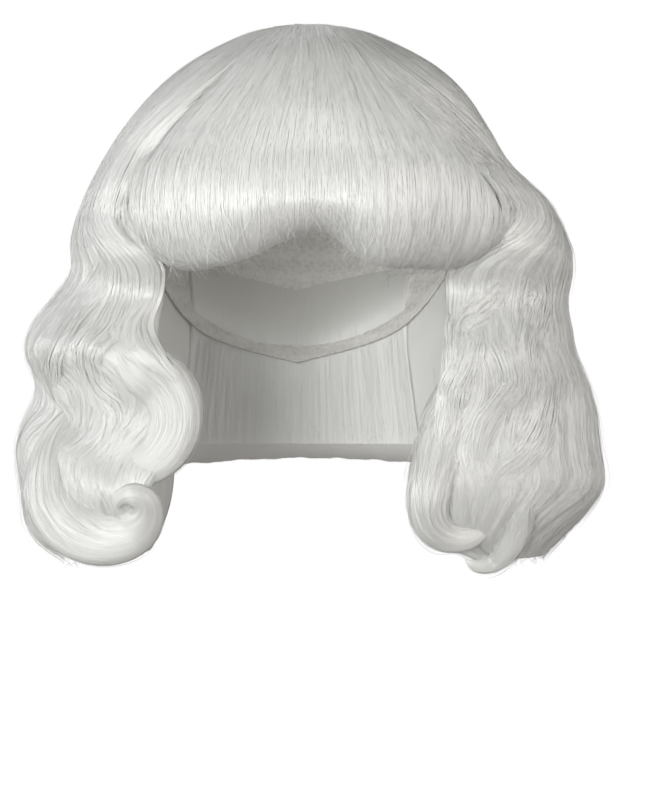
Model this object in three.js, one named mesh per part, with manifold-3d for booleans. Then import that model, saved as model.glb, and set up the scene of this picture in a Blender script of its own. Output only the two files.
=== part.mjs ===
// White waved wig: a net cap carries a crown, a rolled fringe, two waved sides, a back and four curls.
// Millimetres, +Z up. The wig faces -Y, and +X is the wearer's left.
// The origin is the inside of the cap's top, where the top of the head bears.
import * as THREE from "three";
import { mergeVertices } from "three/addons/utils/BufferGeometryUtils.js";
import Module from "manifold-3d";

const wasm = await Module();
wasm.setup();

// Head that the cap is made for: an ellipsoid whose top is the origin
const HEAD_HALF_WIDTH = 77;
const HEAD_HALF_LENGTH = 97;
const HEAD_TOP_TO_WIDEST = 95;

// Cap's wall, the hair's seat over it, and the room that each piece leaves round those before it
const CAP_WALL = 1.5;
const SEAT_GAP = 1.6;
const GAP = 0.5;

// Rim of the cap, by the angle round from the front and the angle down from the top
const CAP_RIM = [
  { round: 0, down: 66 },
  { round: 40, down: 72 },
  { round: 68, down: 101 },
  { round: 98, down: 93 },
  { round: 135, down: 116 },
  { round: 180, down: 127 },
];

// Outline of the hair at each height: how far it reaches from the head's axis to each side and to the back.
// front is its reach at the front while it lies on the dome, and below that the depth of the sides' fronts.
const OUTLINE = [
  { z: 15, right: 0, left: 0, front: 0, back: 0 },
  { z: 12.5, right: 20, left: 22, front: 27, back: 28 },
  { z: 6.5, right: 38, left: 40, front: 50, back: 53 },
  { z: -5.5, right: 60, left: 63, front: 76, back: 80 },
  { z: -20, right: 77, left: 79, front: 94, back: 99 },
  { z: -38, right: 92, left: 91, front: 108, back: 115 },
  { z: -56, right: 103, left: 102, front: 117, back: 125 },
  { z: -74, right: 112, left: 121, front: 119, back: 129 },
  { z: -92, right: 117, left: 130, front: 98, back: 131 },
  { z: -108, right: 119, left: 132, front: 72, back: 130 },
  { z: -122, right: 126, left: 132, front: 66, back: 126 },
  { z: -136, right: 135, left: 134, front: 70, back: 125 },
  { z: -150, right: 140, left: 134, front: 75, back: 128 },
  { z: -166, right: 136, left: 140, front: 76, back: 123 },
  { z: -182, right: 139, left: 147, front: 74, back: 119 },
  { z: -200, right: 144, left: 149, front: 72, back: 110 },
  { z: -216, right: 144, left: 147, front: 73, back: 92 },
  { z: -230, right: 140, left: 138, front: 70, back: 80 },
  { z: -242, right: 132, left: 128, front: 62, back: 68 },
  { z: -250, right: 119, left: 120, front: 48, back: 54 },
];

// Edge of each side beside the face, and half the hollow's width, on the last rows of the outline
const FACE_EDGE = [
  { z: -92, right: 74, left: 70, hollow: 79.5 },
  { z: -108, right: 72, left: 64, hollow: 80 },
  { z: -122, right: 73, left: 64, hollow: 80 },
  { z: -136, right: 78, left: 63, hollow: 81 },
  { z: -150, right: 72, left: 61, hollow: 83 },
  { z: -166, right: 62, left: 60, hollow: 86 },
  { z: -182, right: 60, left: 58, hollow: 89 },
  { z: -200, right: 68, left: 55, hollow: 93 },
  { z: -216, right: 80, left: 54, hollow: 95 },
  { z: -230, right: 80, left: 56, hollow: 96 },
  { z: -242, right: 82, left: 64, hollow: 97 },
  { z: -250, right: 92, left: 78, hollow: 98 },
];

// Height where the crown ends and the panels of hair start
const PANEL_START_Z = -5.5;

// Fringe: half its spread round the head, then its roll at the brow, in heights, reaches and angles
const FRINGE_HALF_ANGLE = { top: 42, bottom: 58 };
const FRINGE_ON_DOME = 0.55;
const ROLL_TOP_Z = -56;
const ROLL_FRONT_Z = -77;
const ROLL_BOTTOM_Z = -110;
const ROLL_FRONT_REACH = 121;
const ROLL_SIDE_REACH = 109;
const ROLL_DEPTH = 20;
const ROLL_TURN = { from: -40, to: 104 };
const ROLL_END = { power: 8, inset: 4, rise: 10 };
const BROW_Z = -99;
const BROW_SPREAD = 1.03;
const NOTCH_RISE = 17;
const NOTCH_DENT = 7;
const NOTCH_HALF_ANGLE = { right: 20, left: 11 };

// Sides: heights between which they leave the dome for their curtains, locks, rounded edges and tips
const DOME_END_Z = -80;
const CURTAIN_START_Z = -112;
const SIDE_UNDER_FRINGE = 2;
const LOCKS_PER_SIDE = 5;
const LOCK_RELIEF = 3;
const LOCK_SWAY = 0.22;
const LOCK_WAVE = 58;
const HOLLOW_FRONT_ANGLE = 46;
const HOLLOW_FRONT_DEPTH = 76;
const EDGE_ROUNDING = 0.34;
const EDGE_THICKNESS = 0.12;
const TIP_ROUNDING = 0.12;

// Back: half its spread round the head, and the roll at its end
const BACK_HALF_ANGLE = 43;
const BACK_ON_SHEET = 0.8;
const BACK_ROLL_Z = -188;
const BACK_BOTTOM_Z = -205;
const BACK_ROLL_DEPTH = 17;
const BACK_ROLL_TURN = 108;
const BACK_ROLL_TUCK = 8;
const BACK_HOLLOW = 83;

// Depths below the origin over which the hair's inside leaves the cap for the open hollow
const SHELTER_SIDE = { from: 70, to: 100 };
const SHELTER_BACK = { from: 105, to: 150 };

// Curls, each a lock that comes down from a root and winds round a hub, as seen from the front.
// start and turn are in degrees, anticlockwise from the wearer's left; wide and deep are half sizes.
const CURLS = [
  {
    name: "right_end_curl",
    root: [-120, -52, -176],
    hub: [-94, -72, -216],
    start: 178,
    turn: 300,
    radius: [24, 5],
    wide: [18, 12],
    deep: [18, 13],
  },
  {
    name: "right_cheek_curl",
    root: [-98, -58, -128],
    hub: [-90, -72, -182],
    start: 70,
    turn: -200,
    radius: [20, 26],
    wide: [15, 9],
    deep: [14, 9],
  },
  {
    name: "left_cheek_curl",
    root: [82, -68, -146],
    hub: [78, -70, -228],
    start: 172,
    turn: 270,
    radius: [17, 4],
    wide: [15, 10],
    deep: [15, 11],
  },
  {
    name: "left_end_curl",
    root: [114, -50, -208],
    hub: [96, -60, -247],
    start: 25,
    turn: -250,
    radius: [9, 4],
    wide: [9, 5],
    deep: [11, 7],
  },
];
const CURL_APPROACH = 0.35;
const CURL_BEND = 0.5;
const CURL_TAPER_POWER = 6;
const TANGENT_STEP = 0.01;

// Mesh steps
const CAP_STEPS = { round: 30, down: 8 };
const CROWN_STEPS = { round: 36, down: 4 };
const FRINGE_STEPS = { across: 24, along: 13 };
const SIDE_STEPS = { across: 20, along: 20 };
const BACK_STEPS = { across: 14, along: 15 };
const CURL_STEPS = { round: 8, along: 20 };
const SEARCH_STEPS = 40;
const MERGE_DISTANCE = 1e-3;
const GROW_PASSES = 30;

const { lerp, clamp, smoothstep, degToRad, radToDeg } = THREE.MathUtils;

// Value of a table's column at a place on the row scale, as a smooth curve through the rows
function column(table, name, place) {
  const last = table.length - 1;
  const row = clamp(Math.floor(place), 0, last - 1);
  const at = (i) => table[clamp(i, 0, last)][name];
  const t = place - row;
  const slopeIn = (at(row + 1) - at(row - 1)) / 2;
  const slopeOut = (at(row + 2) - at(row)) / 2;
  const rise = at(row + 1) - at(row);
  const bend = 3 * rise - 2 * slopeIn - slopeOut;
  const twist = slopeIn + slopeOut - 2 * rise;
  return at(row) + t * (slopeIn + t * (bend + t * twist));
}

// Place on a table's row scale where its key column, which falls or rises steadily, has a value
function placeOf(table, key, value) {
  let low = 0;
  let high = table.length - 1;
  const falls = table[0][key] > table[high][key];
  for (let step = 0; step < SEARCH_STEPS; step += 1) {
    const middle = (low + high) / 2;
    const before = column(table, key, middle) > value === falls;
    if (before) low = middle;
    else high = middle;
  }
  return low;
}

// Point of the head's ellipsoid, grown outwards, by the angles round from the front and down from the top
function headPoint(round, down, grow) {
  const across = Math.sin(down);
  return new THREE.Vector3(
    (HEAD_HALF_WIDTH + grow) * across * Math.sin(round),
    -(HEAD_HALF_LENGTH + grow) * across * Math.cos(round),
    (HEAD_TOP_TO_WIDEST + grow) * Math.cos(down) - HEAD_TOP_TO_WIDEST,
  );
}

// Point where the line from the middle of the head to a point meets the hair's seat on the cap
function seatUnder(point) {
  const grow = CAP_WALL + SEAT_GAP;
  const out = point.clone();
  out.z += HEAD_TOP_TO_WIDEST;
  const share = Math.hypot(
    out.x / (HEAD_HALF_WIDTH + grow),
    out.y / (HEAD_HALF_LENGTH + grow),
    out.z / (HEAD_TOP_TO_WIDEST + grow),
  );
  out.divideScalar(share);
  out.z -= HEAD_TOP_TO_WIDEST;
  return out;
}

// Moves each corner of a closed mesh out until it is a gap clear of the planes of all its faces
function growMesh(position, index, gap) {
  const corner = (i) => new THREE.Vector3().fromBufferAttribute(position, i);
  const normals = Array.from({ length: position.count }, () => []);
  for (let i = 0; i < index.length; i += 3) {
    const face = index.slice(i, i + 3);
    const normal = new THREE.Triangle(...face.map(corner)).getNormal(new THREE.Vector3());
    for (const c of face) normals[c].push(normal);
  }
  for (let i = 0; i < position.count; i += 1) {
    const move = new THREE.Vector3();
    for (let pass = 0; pass < GROW_PASSES; pass += 1)
      for (const normal of normals[i]) move.addScaledVector(normal, Math.max(gap - move.dot(normal), 0));
    const point = corner(i).add(move);
    position.setXYZ(i, point.x, point.y, point.z);
  }
}

// Closed solid from points and faces, turned the right way out and grown by a gap
function solidOf(points, faces, grow) {
  const geometry = new THREE.BufferGeometry().setFromPoints(points);
  geometry.setIndex(faces.flat());
  const merged = mergeVertices(geometry, MERGE_DISTANCE);
  const { position } = merged.attributes;
  const corner = (i) => new THREE.Vector3().fromBufferAttribute(position, i);
  const index = Array.from(merged.index.array);
  let volume = 0;
  for (let i = 0; i < index.length; i += 3) {
    const [a, b, c] = index.slice(i, i + 3).map(corner);
    volume += a.dot(b.cross(c));
  }
  if (volume < 0) index.reverse();
  if (grow > 0) growMesh(position, index, grow);
  const mesh = { numProp: 3, vertProperties: position.array, triVerts: new Uint32Array(index) };
  return new wasm.Manifold(new wasm.Mesh(mesh));
}

// Two triangles of a four-sided face
function quad(a, b, c, d) {
  return [
    [a, b, c],
    [a, c, d],
  ];
}

// Slab between an outer and an inner sheet, each a function of the shares across and along
function slab(outer, inner, steps, grow) {
  const points = [];
  const faces = [];
  for (const sheet of [outer, inner])
    for (let i = 0; i <= steps.across; i += 1)
      for (let j = 0; j <= steps.along; j += 1) points.push(sheet(i / steps.across, j / steps.along));
  const rowLength = steps.along + 1;
  const layer = rowLength * (steps.across + 1);
  const front = (i, j) => i * rowLength + j;
  const behind = (i, j) => layer + front(i, j);
  for (let i = 0; i < steps.across; i += 1)
    for (let j = 0; j < steps.along; j += 1) {
      faces.push(...quad(front(i, j), front(i + 1, j), front(i + 1, j + 1), front(i, j + 1)));
      faces.push(...quad(behind(i, j), behind(i, j + 1), behind(i + 1, j + 1), behind(i + 1, j)));
    }
  for (let i = 0; i < steps.across; i += 1) {
    const end = steps.along;
    faces.push(...quad(front(i, 0), behind(i, 0), behind(i + 1, 0), front(i + 1, 0)));
    faces.push(...quad(front(i, end), front(i + 1, end), behind(i + 1, end), behind(i, end)));
  }
  for (let j = 0; j < steps.along; j += 1) {
    const end = steps.across;
    faces.push(...quad(front(0, j), front(0, j + 1), behind(0, j + 1), behind(0, j)));
    faces.push(...quad(front(end, j), behind(end, j), behind(end, j + 1), front(end, j + 1)));
  }
  return solidOf(points, faces, grow);
}

// Bowl between an outer and an inner dome, each a function of the angle round and the share down
function bowl(outer, inner, steps, grow) {
  const points = [outer(0, 0), inner(0, 0)];
  const faces = [];
  const start = [2, 2 + steps.round * steps.down];
  for (const dome of [outer, inner])
    for (let j = 1; j <= steps.down; j += 1)
      for (let i = 0; i < steps.round; i += 1)
        points.push(dome((2 * Math.PI * i) / steps.round, j / steps.down));
  const at = (layer, i, j) => start[layer] + (j - 1) * steps.round + (i % steps.round);
  for (let i = 0; i < steps.round; i += 1) {
    faces.push([0, at(0, i, 1), at(0, i + 1, 1)]);
    faces.push([1, at(1, i + 1, 1), at(1, i, 1)]);
    for (let j = 1; j < steps.down; j += 1) {
      faces.push(...quad(at(0, i, j), at(0, i, j + 1), at(0, i + 1, j + 1), at(0, i + 1, j)));
      faces.push(...quad(at(1, i, j), at(1, i + 1, j), at(1, i + 1, j + 1), at(1, i, j + 1)));
    }
    const end = steps.down;
    faces.push(...quad(at(0, i, end), at(1, i, end), at(1, i + 1, end), at(0, i + 1, end)));
  }
  return solidOf(points, faces, grow);
}

// Plain net cap, whose rim runs over the brow, before and over the ears, and down to the nape
function wigCap(grow) {
  const rim = (round) => {
    const fromFront = Math.abs(Math.atan2(Math.sin(round), Math.cos(round)));
    return degToRad(column(CAP_RIM, "down", placeOf(CAP_RIM, "round", radToDeg(fromFront))));
  };
  const dome = (height) => (round, share) => headPoint(round, share * rim(round), height);
  return bowl(dome(CAP_WALL), dome(0), CAP_STEPS, grow);
}

// Point of the hair's outline on the dome, by the angle round from the front and the place in the table
function domePoint(round, place) {
  const sideways = Math.sin(round);
  const forward = Math.cos(round);
  const side = column(OUTLINE, sideways < 0 ? "right" : "left", place);
  const depth = column(OUTLINE, forward > 0 ? "front" : "back", place);
  return new THREE.Vector3(side * sideways, -depth * forward, column(OUTLINE, "z", place));
}

const PANEL_START = placeOf(OUTLINE, "z", PANEL_START_Z);
const ROLL_TOP = placeOf(OUTLINE, "z", ROLL_TOP_Z);
const BACK_ROLL = placeOf(OUTLINE, "z", BACK_ROLL_Z);

// Disc of hair on the top of the dome
function crownHair(grow) {
  const outer = (round, share) => domePoint(round, share * PANEL_START);
  const inner = (round, share) => {
    if (share === 0) return headPoint(0, 0, CAP_WALL + SEAT_GAP);
    return seatUnder(outer(round, share));
  };
  return bowl(outer, inner, CROWN_STEPS, grow);
}

// Angle round from the front to the fringe's edge at a place in the outline table
function fringeEdge(place) {
  const share = smoothstep(place, PANEL_START, ROLL_TOP);
  return degToRad(lerp(FRINGE_HALF_ANGLE.top, FRINGE_HALF_ANGLE.bottom, share));
}

// Fringe panel: down the dome to the roll's front, round under it and back to the brow
function fringe(grow) {
  const from = degToRad(ROLL_TURN.from);
  const above = (ROLL_FRONT_Z - ROLL_TOP_Z) / Math.sin(from);
  const rollShare = (along) => clamp((along - FRINGE_ON_DOME) / (1 - FRINGE_ON_DOME), 0, 1);
  const outer = (across, along) => {
    const place = lerp(PANEL_START, ROLL_TOP, Math.min(along / FRINGE_ON_DOME, 1));
    const round = lerp(-1, 1, across) * fringeEdge(place);
    const notchHalf = round < 0 ? NOTCH_HALF_ANGLE.right : NOTCH_HALF_ANGLE.left;
    const notch = Math.exp(-((radToDeg(round) / notchHalf) ** 2));
    const dent = NOTCH_DENT * notch * smoothstep(along, FRINGE_ON_DOME / 2, FRINGE_ON_DOME);
    if (along <= FRINGE_ON_DOME) {
      const point = domePoint(round, place);
      point.y += dent;
      return point;
    }
    const turn = lerp(from, degToRad(ROLL_TURN.to), rollShare(along));
    const end = 1 - Math.sqrt(1 - Math.abs(2 * across - 1) ** ROLL_END.power);
    const inset = ROLL_DEPTH * (1 - Math.cos(turn)) + end * ROLL_END.inset * smoothstep(turn, from, 0);
    const bottom = ROLL_BOTTOM_Z + NOTCH_RISE * notch + ROLL_END.rise * end;
    const below = turn > 0 ? ROLL_FRONT_Z - bottom : above;
    return new THREE.Vector3(
      (ROLL_SIDE_REACH - inset) * Math.sin(round),
      -(ROLL_FRONT_REACH - dent - inset) * Math.cos(round),
      ROLL_FRONT_Z - below * Math.sin(turn),
    );
  };
  const inner = (across, along) => {
    const seat = seatUnder(outer(across, Math.min(along, FRINGE_ON_DOME)));
    const share = rollShare(along);
    const spread = lerp(1, BROW_SPREAD, share);
    return new THREE.Vector3(seat.x * spread, seat.y * spread, lerp(seat.z, BROW_Z, share));
  };
  return slab(outer, inner, FRINGE_STEPS, grow);
}

// Point of the hair's inside under a point of its outside: on the cap above, and on the open hollow below
function insideUnder(point, hollow, toBack) {
  const from = lerp(SHELTER_SIDE.from, SHELTER_BACK.from, toBack);
  const to = lerp(SHELTER_SIDE.to, SHELTER_BACK.to, toBack);
  return seatUnder(point).lerp(hollow, smoothstep(-point.z, from, to));
}

// Half width of the hollow at a place in the outline table
function hollowAt(place) {
  const edgePlace = place - (OUTLINE.length - FACE_EDGE.length);
  return column(FACE_EDGE, "hollow", clamp(edgePlace, 0, FACE_EDGE.length - 1));
}

// Waved side from the fringe's edge round to the back; way is -1 on the wearer's right and 1 on the left
function sideHair(way, grow) {
  const name = way < 0 ? "right" : "left";
  const last = OUTLINE.length - 1;
  const backAngle = degToRad(90 - BACK_HALF_ANGLE);
  const placeAt = (along) => lerp(PANEL_START, last, along);
  const curtainAt = (place) => smoothstep(-column(OUTLINE, "z", place), -DOME_END_Z, -CURTAIN_START_Z);
  const outer = (across, along) => {
    const place = placeAt(along);
    const z = column(OUTLINE, "z", place);
    const curtain = curtainAt(place);
    const sway = LOCK_SWAY * Math.sin((2 * Math.PI * z) / LOCK_WAVE);
    const relief = LOCK_RELIEF * curtain * Math.cos(2 * Math.PI * (LOCKS_PER_SIDE * across + sway));
    const reach = column(OUTLINE, name, place) + relief;
    if (across > 0.5) {
      const turn = (2 * across - 1) * backAngle;
      const depth = column(OUTLINE, "back", place) + relief;
      return new THREE.Vector3(way * reach * Math.cos(turn), depth * Math.sin(turn), z);
    }
    const front = column(OUTLINE, "front", place);
    const frontAngle = fringeEdge(place) - degToRad(SIDE_UNDER_FRINGE);
    const round = lerp(frontAngle, Math.PI / 2, 2 * across);
    const dome = new THREE.Vector3(way * reach * Math.sin(round), -front * Math.cos(round), z);
    const turn = across * Math.PI;
    const edgePlace = clamp(place - (OUTLINE.length - FACE_EDGE.length), 0, FACE_EDGE.length - 1);
    const edge = column(FACE_EDGE, name, edgePlace);
    const x = edge + (reach - edge) * Math.sin(turn);
    const low = new THREE.Vector3(way * x, -(front + relief) * Math.cos(turn), z);
    return dome.lerp(low, curtain);
  };
  const inner = (across, along) => {
    const place = placeAt(along);
    const point = outer(across, along);
    const toBack = Math.max(2 * across - 1, 0);
    const turn = across > 0.5 ? toBack * backAngle : (2 * across - 1) * degToRad(HOLLOW_FRONT_ANGLE);
    const depth = across > 0.5 ? BACK_HOLLOW : HOLLOW_FRONT_DEPTH;
    const half = hollowAt(place);
    const hollow = new THREE.Vector3(way * half * Math.cos(turn), depth * Math.sin(turn), point.z);
    const fromEdge = 1 - clamp(across / EDGE_ROUNDING, 0, 1);
    const rounding = Math.max(EDGE_THICKNESS, Math.sqrt(1 - fromEdge * fromEdge));
    const fromTip = clamp((along - 1 + TIP_ROUNDING) / TIP_ROUNDING, 0, 1);
    const tip = Math.max(EDGE_THICKNESS, Math.sqrt(1 - fromTip * fromTip));
    const inside = insideUnder(point, hollow, toBack);
    return point.lerp(inside, lerp(1, rounding, curtainAt(place)) * tip);
  };
  return slab(outer, inner, SIDE_STEPS, grow);
}

// Back of the hair, down to the roll at its end
function backHair(grow) {
  const half = degToRad(BACK_HALF_ANGLE);
  const angleAt = (across) => Math.PI + lerp(half, -half, across);
  const placeAt = (along) => lerp(PANEL_START, BACK_ROLL, Math.min(along / BACK_ON_SHEET, 1));
  const rollShare = (along) => clamp((along - BACK_ON_SHEET) / (1 - BACK_ON_SHEET), 0, 1);
  const outer = (across, along) => {
    const point = domePoint(angleAt(across), placeAt(along));
    const turn = degToRad(BACK_ROLL_TURN) * rollShare(along);
    const reach = Math.hypot(point.x, point.y);
    const inset = BACK_ROLL_DEPTH * (1 - Math.cos(turn));
    point.x *= 1 - inset / reach;
    point.y *= 1 - inset / reach;
    point.z -= (BACK_ROLL_Z - BACK_BOTTOM_Z) * Math.sin(turn);
    return point;
  };
  const inner = (across, along) => {
    const place = placeAt(along);
    const angle = angleAt(across);
    const point = domePoint(angle, place);
    const toBack = 1 - Math.abs(2 * across - 1) / 2;
    const half = hollowAt(place);
    const hollow = new THREE.Vector3(half * Math.sin(angle), -BACK_HOLLOW * Math.cos(angle), point.z);
    const inside = insideUnder(point, hollow, toBack);
    inside.z -= BACK_ROLL_TUCK * rollShare(along);
    return inside;
  };
  return slab(outer, inner, BACK_STEPS, grow);
}

// Curl: a tube with oval sections down from its root and round its hub
function curl(row, grow) {
  const hub = new THREE.Vector3(...row.hub);
  const root = new THREE.Vector3(...row.root);
  const onSpiral = (t) => {
    const turned = degToRad(row.start + row.turn * t);
    const radius = lerp(row.radius[0], row.radius[1], t);
    return new THREE.Vector3(radius * Math.cos(turned), 0, radius * Math.sin(turned)).add(hub);
  };
  const begin = onSpiral(0);
  const tangent = onSpiral(TANGENT_STEP).sub(begin).setLength(begin.distanceTo(root) * CURL_BEND);
  const approach = new THREE.QuadraticBezierCurve3(root, begin.clone().sub(tangent), begin);
  const centre = (t) => {
    if (t < CURL_APPROACH) return approach.getPoint(t / CURL_APPROACH);
    return onSpiral((t - CURL_APPROACH) / (1 - CURL_APPROACH));
  };
  const points = [centre(0)];
  const faces = [];
  const sides = CURL_STEPS.round;
  const rings = CURL_STEPS.along - 1;
  for (let j = 1; j <= rings; j += 1) {
    const t = j / CURL_STEPS.along;
    const along = centre(t + TANGENT_STEP).sub(centre(t - TANGENT_STEP));
    const across = new THREE.Vector3(along.z, 0, -along.x).normalize();
    const taper = Math.sqrt(1 - Math.abs(2 * t - 1) ** CURL_TAPER_POWER);
    const wide = lerp(row.wide[0], row.wide[1], t) * taper;
    const deep = lerp(row.deep[0], row.deep[1], t) * taper;
    for (let i = 0; i < sides; i += 1) {
      const round = (2 * Math.PI * i) / sides;
      const point = centre(t).addScaledVector(across, wide * Math.cos(round));
      point.y += deep * Math.sin(round);
      points.push(point);
    }
  }
  points.push(centre(1));
  const tip = points.length - 1;
  const at = (i, j) => 1 + (j - 1) * sides + (i % sides);
  for (let i = 0; i < sides; i += 1) {
    faces.push([0, at(i, 1), at(i + 1, 1)]);
    faces.push([tip, at(i + 1, rings), at(i, rings)]);
    for (let j = 1; j < rings; j += 1)
      faces.push(...quad(at(i, j), at(i, j + 1), at(i + 1, j + 1), at(i + 1, j)));
  }
  return solidOf(points, faces, grow);
}

// What is left of a solid after cutting, without loose scraps
function largest(solid) {
  return solid.decompose().reduce((best, part) => (part.volume() > best.volume() ? part : best));
}

// Named mesh of a solid
function meshOf(name, solid, material) {
  const { vertProperties, triVerts } = solid.getMesh();
  const geometry = new THREE.BufferGeometry();
  geometry.setAttribute("position", new THREE.BufferAttribute(new Float32Array(vertProperties), 3));
  geometry.setIndex(new THREE.BufferAttribute(new Uint32Array(triVerts), 1));
  geometry.computeVertexNormals();
  const mesh = new THREE.Mesh(geometry, material);
  mesh.name = name;
  return mesh;
}

const capFinish = new THREE.MeshStandardMaterial({ color: 0xe9e4d8, roughness: 0.9, metalness: 0 });
const hairFinish = new THREE.MeshStandardMaterial({ color: 0xe6e8e4, roughness: 0.45, metalness: 0 });

// Pieces in order: each is cut clear of those before it, with the gap round them
const PIECES = [
  { name: "wig_cap", shape: wigCap, finish: capFinish },
  { name: "crown_hair", shape: crownHair, finish: hairFinish },
  { name: "fringe", shape: fringe, finish: hairFinish },
  { name: "back_hair", shape: backHair, finish: hairFinish },
  ...CURLS.map((row) => ({ name: row.name, shape: (grow) => curl(row, grow), finish: hairFinish })),
  { name: "right_side_hair", shape: (grow) => sideHair(-1, grow), finish: hairFinish },
  { name: "left_side_hair", shape: (grow) => sideHair(1, grow), finish: hairFinish },
];

const wig = new THREE.Group();
let taken = null;
for (const { name, shape, finish } of PIECES) {
  const solid = taken ? largest(shape(0).subtract(taken)) : shape(0);
  wig.add(meshOf(name, solid, finish));
  taken = taken ? taken.add(shape(GAP)) : shape(GAP);
}

export default wig;
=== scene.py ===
"""Dresses a white waved wig: its net cap, combed masses of hair, single strands, curls and a pale stage."""

import math

import bpy
import numpy as np
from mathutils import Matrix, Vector


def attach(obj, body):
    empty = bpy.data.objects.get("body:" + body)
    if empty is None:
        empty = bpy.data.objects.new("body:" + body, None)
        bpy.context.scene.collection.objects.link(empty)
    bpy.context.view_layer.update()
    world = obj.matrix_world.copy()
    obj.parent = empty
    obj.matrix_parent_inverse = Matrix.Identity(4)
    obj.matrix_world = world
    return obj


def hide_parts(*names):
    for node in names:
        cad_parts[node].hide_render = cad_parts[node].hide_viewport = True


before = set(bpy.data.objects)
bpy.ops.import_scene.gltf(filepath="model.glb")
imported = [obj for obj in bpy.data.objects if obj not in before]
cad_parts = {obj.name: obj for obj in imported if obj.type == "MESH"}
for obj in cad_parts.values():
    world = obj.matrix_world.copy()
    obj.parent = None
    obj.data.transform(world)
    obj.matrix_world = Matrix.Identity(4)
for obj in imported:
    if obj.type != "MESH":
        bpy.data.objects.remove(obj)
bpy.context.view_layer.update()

bl_info = {
    "name": "White Waved Wig",
    "version": (1, 0, 0),
    "blender": (4, 5, 0),
    "location": "View3D > Sidebar > Wig",
    "description": "Models a white waved wig strand by strand on its packed frame",
    "category": "Add Mesh",
}


def columns(names, *rows):
    """Table of named columns, as arrays."""
    return {name: np.array(values, float) for name, values in zip(names.split(), zip(*rows))}


def named_rows(names, **rows):
    """Table of named rows, each with its values by the columns' names; a row may leave out its last ones."""
    return {row: dict(zip(names.split(), values)) for row, values in rows.items()}


# Inside of the cap: an ellipsoid whose top is the origin
HEAD_HALF_WIDTH = 0.077
HEAD_HALF_LENGTH = 0.097
HEAD_TOP_TO_WIDEST = 0.095

# The cap's wall, and how far off the cap's inside the hair's seat on it lies
CAP_WALL = 0.0015
SEAT_GROW = 0.0031

# Rim of the cap, by the degrees round from the front and down from the top
CAP_RIM = columns(
    "round down",
    (0, 66),
    (40, 72),
    (68, 101),
    (98, 93),
    (135, 116),
    (180, 127),
)

# Outline of the hair at each height: its reach to each side, to the front of the dome or sides, and behind
OUTLINE = columns(
    "z right left front back",
    (0.0150, 0.000, 0.000, 0.000, 0.000),
    (0.0125, 0.020, 0.022, 0.027, 0.028),
    (0.0065, 0.038, 0.040, 0.050, 0.053),
    (-0.0055, 0.060, 0.063, 0.076, 0.080),
    (-0.0200, 0.077, 0.079, 0.094, 0.099),
    (-0.0380, 0.092, 0.091, 0.108, 0.115),
    (-0.0560, 0.103, 0.102, 0.117, 0.125),
    (-0.0740, 0.112, 0.121, 0.119, 0.129),
    (-0.0920, 0.117, 0.130, 0.098, 0.131),
    (-0.1080, 0.119, 0.132, 0.072, 0.130),
    (-0.1220, 0.126, 0.132, 0.066, 0.126),
    (-0.1360, 0.135, 0.134, 0.070, 0.125),
    (-0.1500, 0.140, 0.134, 0.075, 0.128),
    (-0.1660, 0.136, 0.140, 0.076, 0.123),
    (-0.1820, 0.139, 0.147, 0.074, 0.119),
    (-0.2000, 0.144, 0.149, 0.072, 0.110),
    (-0.2160, 0.144, 0.147, 0.073, 0.092),
    (-0.2300, 0.140, 0.138, 0.070, 0.080),
    (-0.2420, 0.132, 0.128, 0.062, 0.068),
    (-0.2500, 0.119, 0.120, 0.048, 0.054),
)
LAST_ROW = len(OUTLINE["z"]) - 1

# Front edge of each side, and the half width of the hollow, on the outline's last rows
FACE_EDGE = columns(
    "right left hollow",
    (0.074, 0.070, 0.0795),
    (0.072, 0.064, 0.080),
    (0.073, 0.064, 0.080),
    (0.078, 0.063, 0.081),
    (0.072, 0.061, 0.083),
    (0.062, 0.060, 0.086),
    (0.060, 0.058, 0.089),
    (0.068, 0.055, 0.093),
    (0.080, 0.054, 0.095),
    (0.080, 0.056, 0.096),
    (0.082, 0.064, 0.097),
    (0.092, 0.078, 0.098),
)
FACE_EDGE_FIRST = LAST_ROW + 1 - len(FACE_EDGE["hollow"])

# Crown: its whorl lies behind the top by a share of the crown's reach. Its mass sinks a little at the rim,
# and its ripples fade out at the seam behind
WHORL = 0.5
CROWN_SINK = 0.0003
CROWN_RIM = (0.7, 1)
CROWN_SEAM = (0, 0.06)

# Fringe: half its spread round the cap, and the share of its length that lies on the dome
FRINGE_HALF_TOP = math.radians(42)
FRINGE_HALF_BOTTOM = math.radians(58)
FRINGE_ON_DOME = 0.55

# Roll of the fringe at the brow: its heights, reaches and turn, and how its ends draw in and rise
ROLL_TOP_Z = -0.056
ROLL_FRONT_Z = -0.077
ROLL_BOTTOM_Z = -0.110
ROLL_FRONT_REACH = 0.121
ROLL_SIDE_REACH = 0.109
ROLL_DEPTH = 0.020
ROLL_FROM = math.radians(-40)
ROLL_TO = math.radians(104)
ROLL_BLEND = 0.12
ROLL_END_POWER = 8
ROLL_END_INSET = 0.004
ROLL_END_RISE = 0.010

# Inside of the fringe at the brow, and the notch in its middle
BROW_Z = -0.099
BROW_SPREAD = 1.03
NOTCH_RISE = 0.017
NOTCH_DENT = 0.007
NOTCH_HALF_RIGHT = math.radians(20)
NOTCH_HALF_LEFT = math.radians(11)

# Flare of the fringe's ends: its size, its span across, and the spans along over which it comes and goes
FLARE_RIGHT = 0.03
FLARE_LEFT = 0.08
FLARE_ACROSS = (0.55, 1.05)
FLARE_COMES = (0.50, 0.75)
FLARE_GOES = (0.80, 0.97)

# Sides and back: the heights where they start, leave the dome and hang free, and the angles that part them.
# Tables of the sides go by their way along x: -1 on the wearer's right and 1 on the left
PANEL_START_Z = -0.0055
DOME_END_Z = -0.080
CURTAIN_START_Z = -0.112
BACK_HALF = math.radians(43)
SIDE_BACK = math.pi / 2 - BACK_HALF

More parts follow.
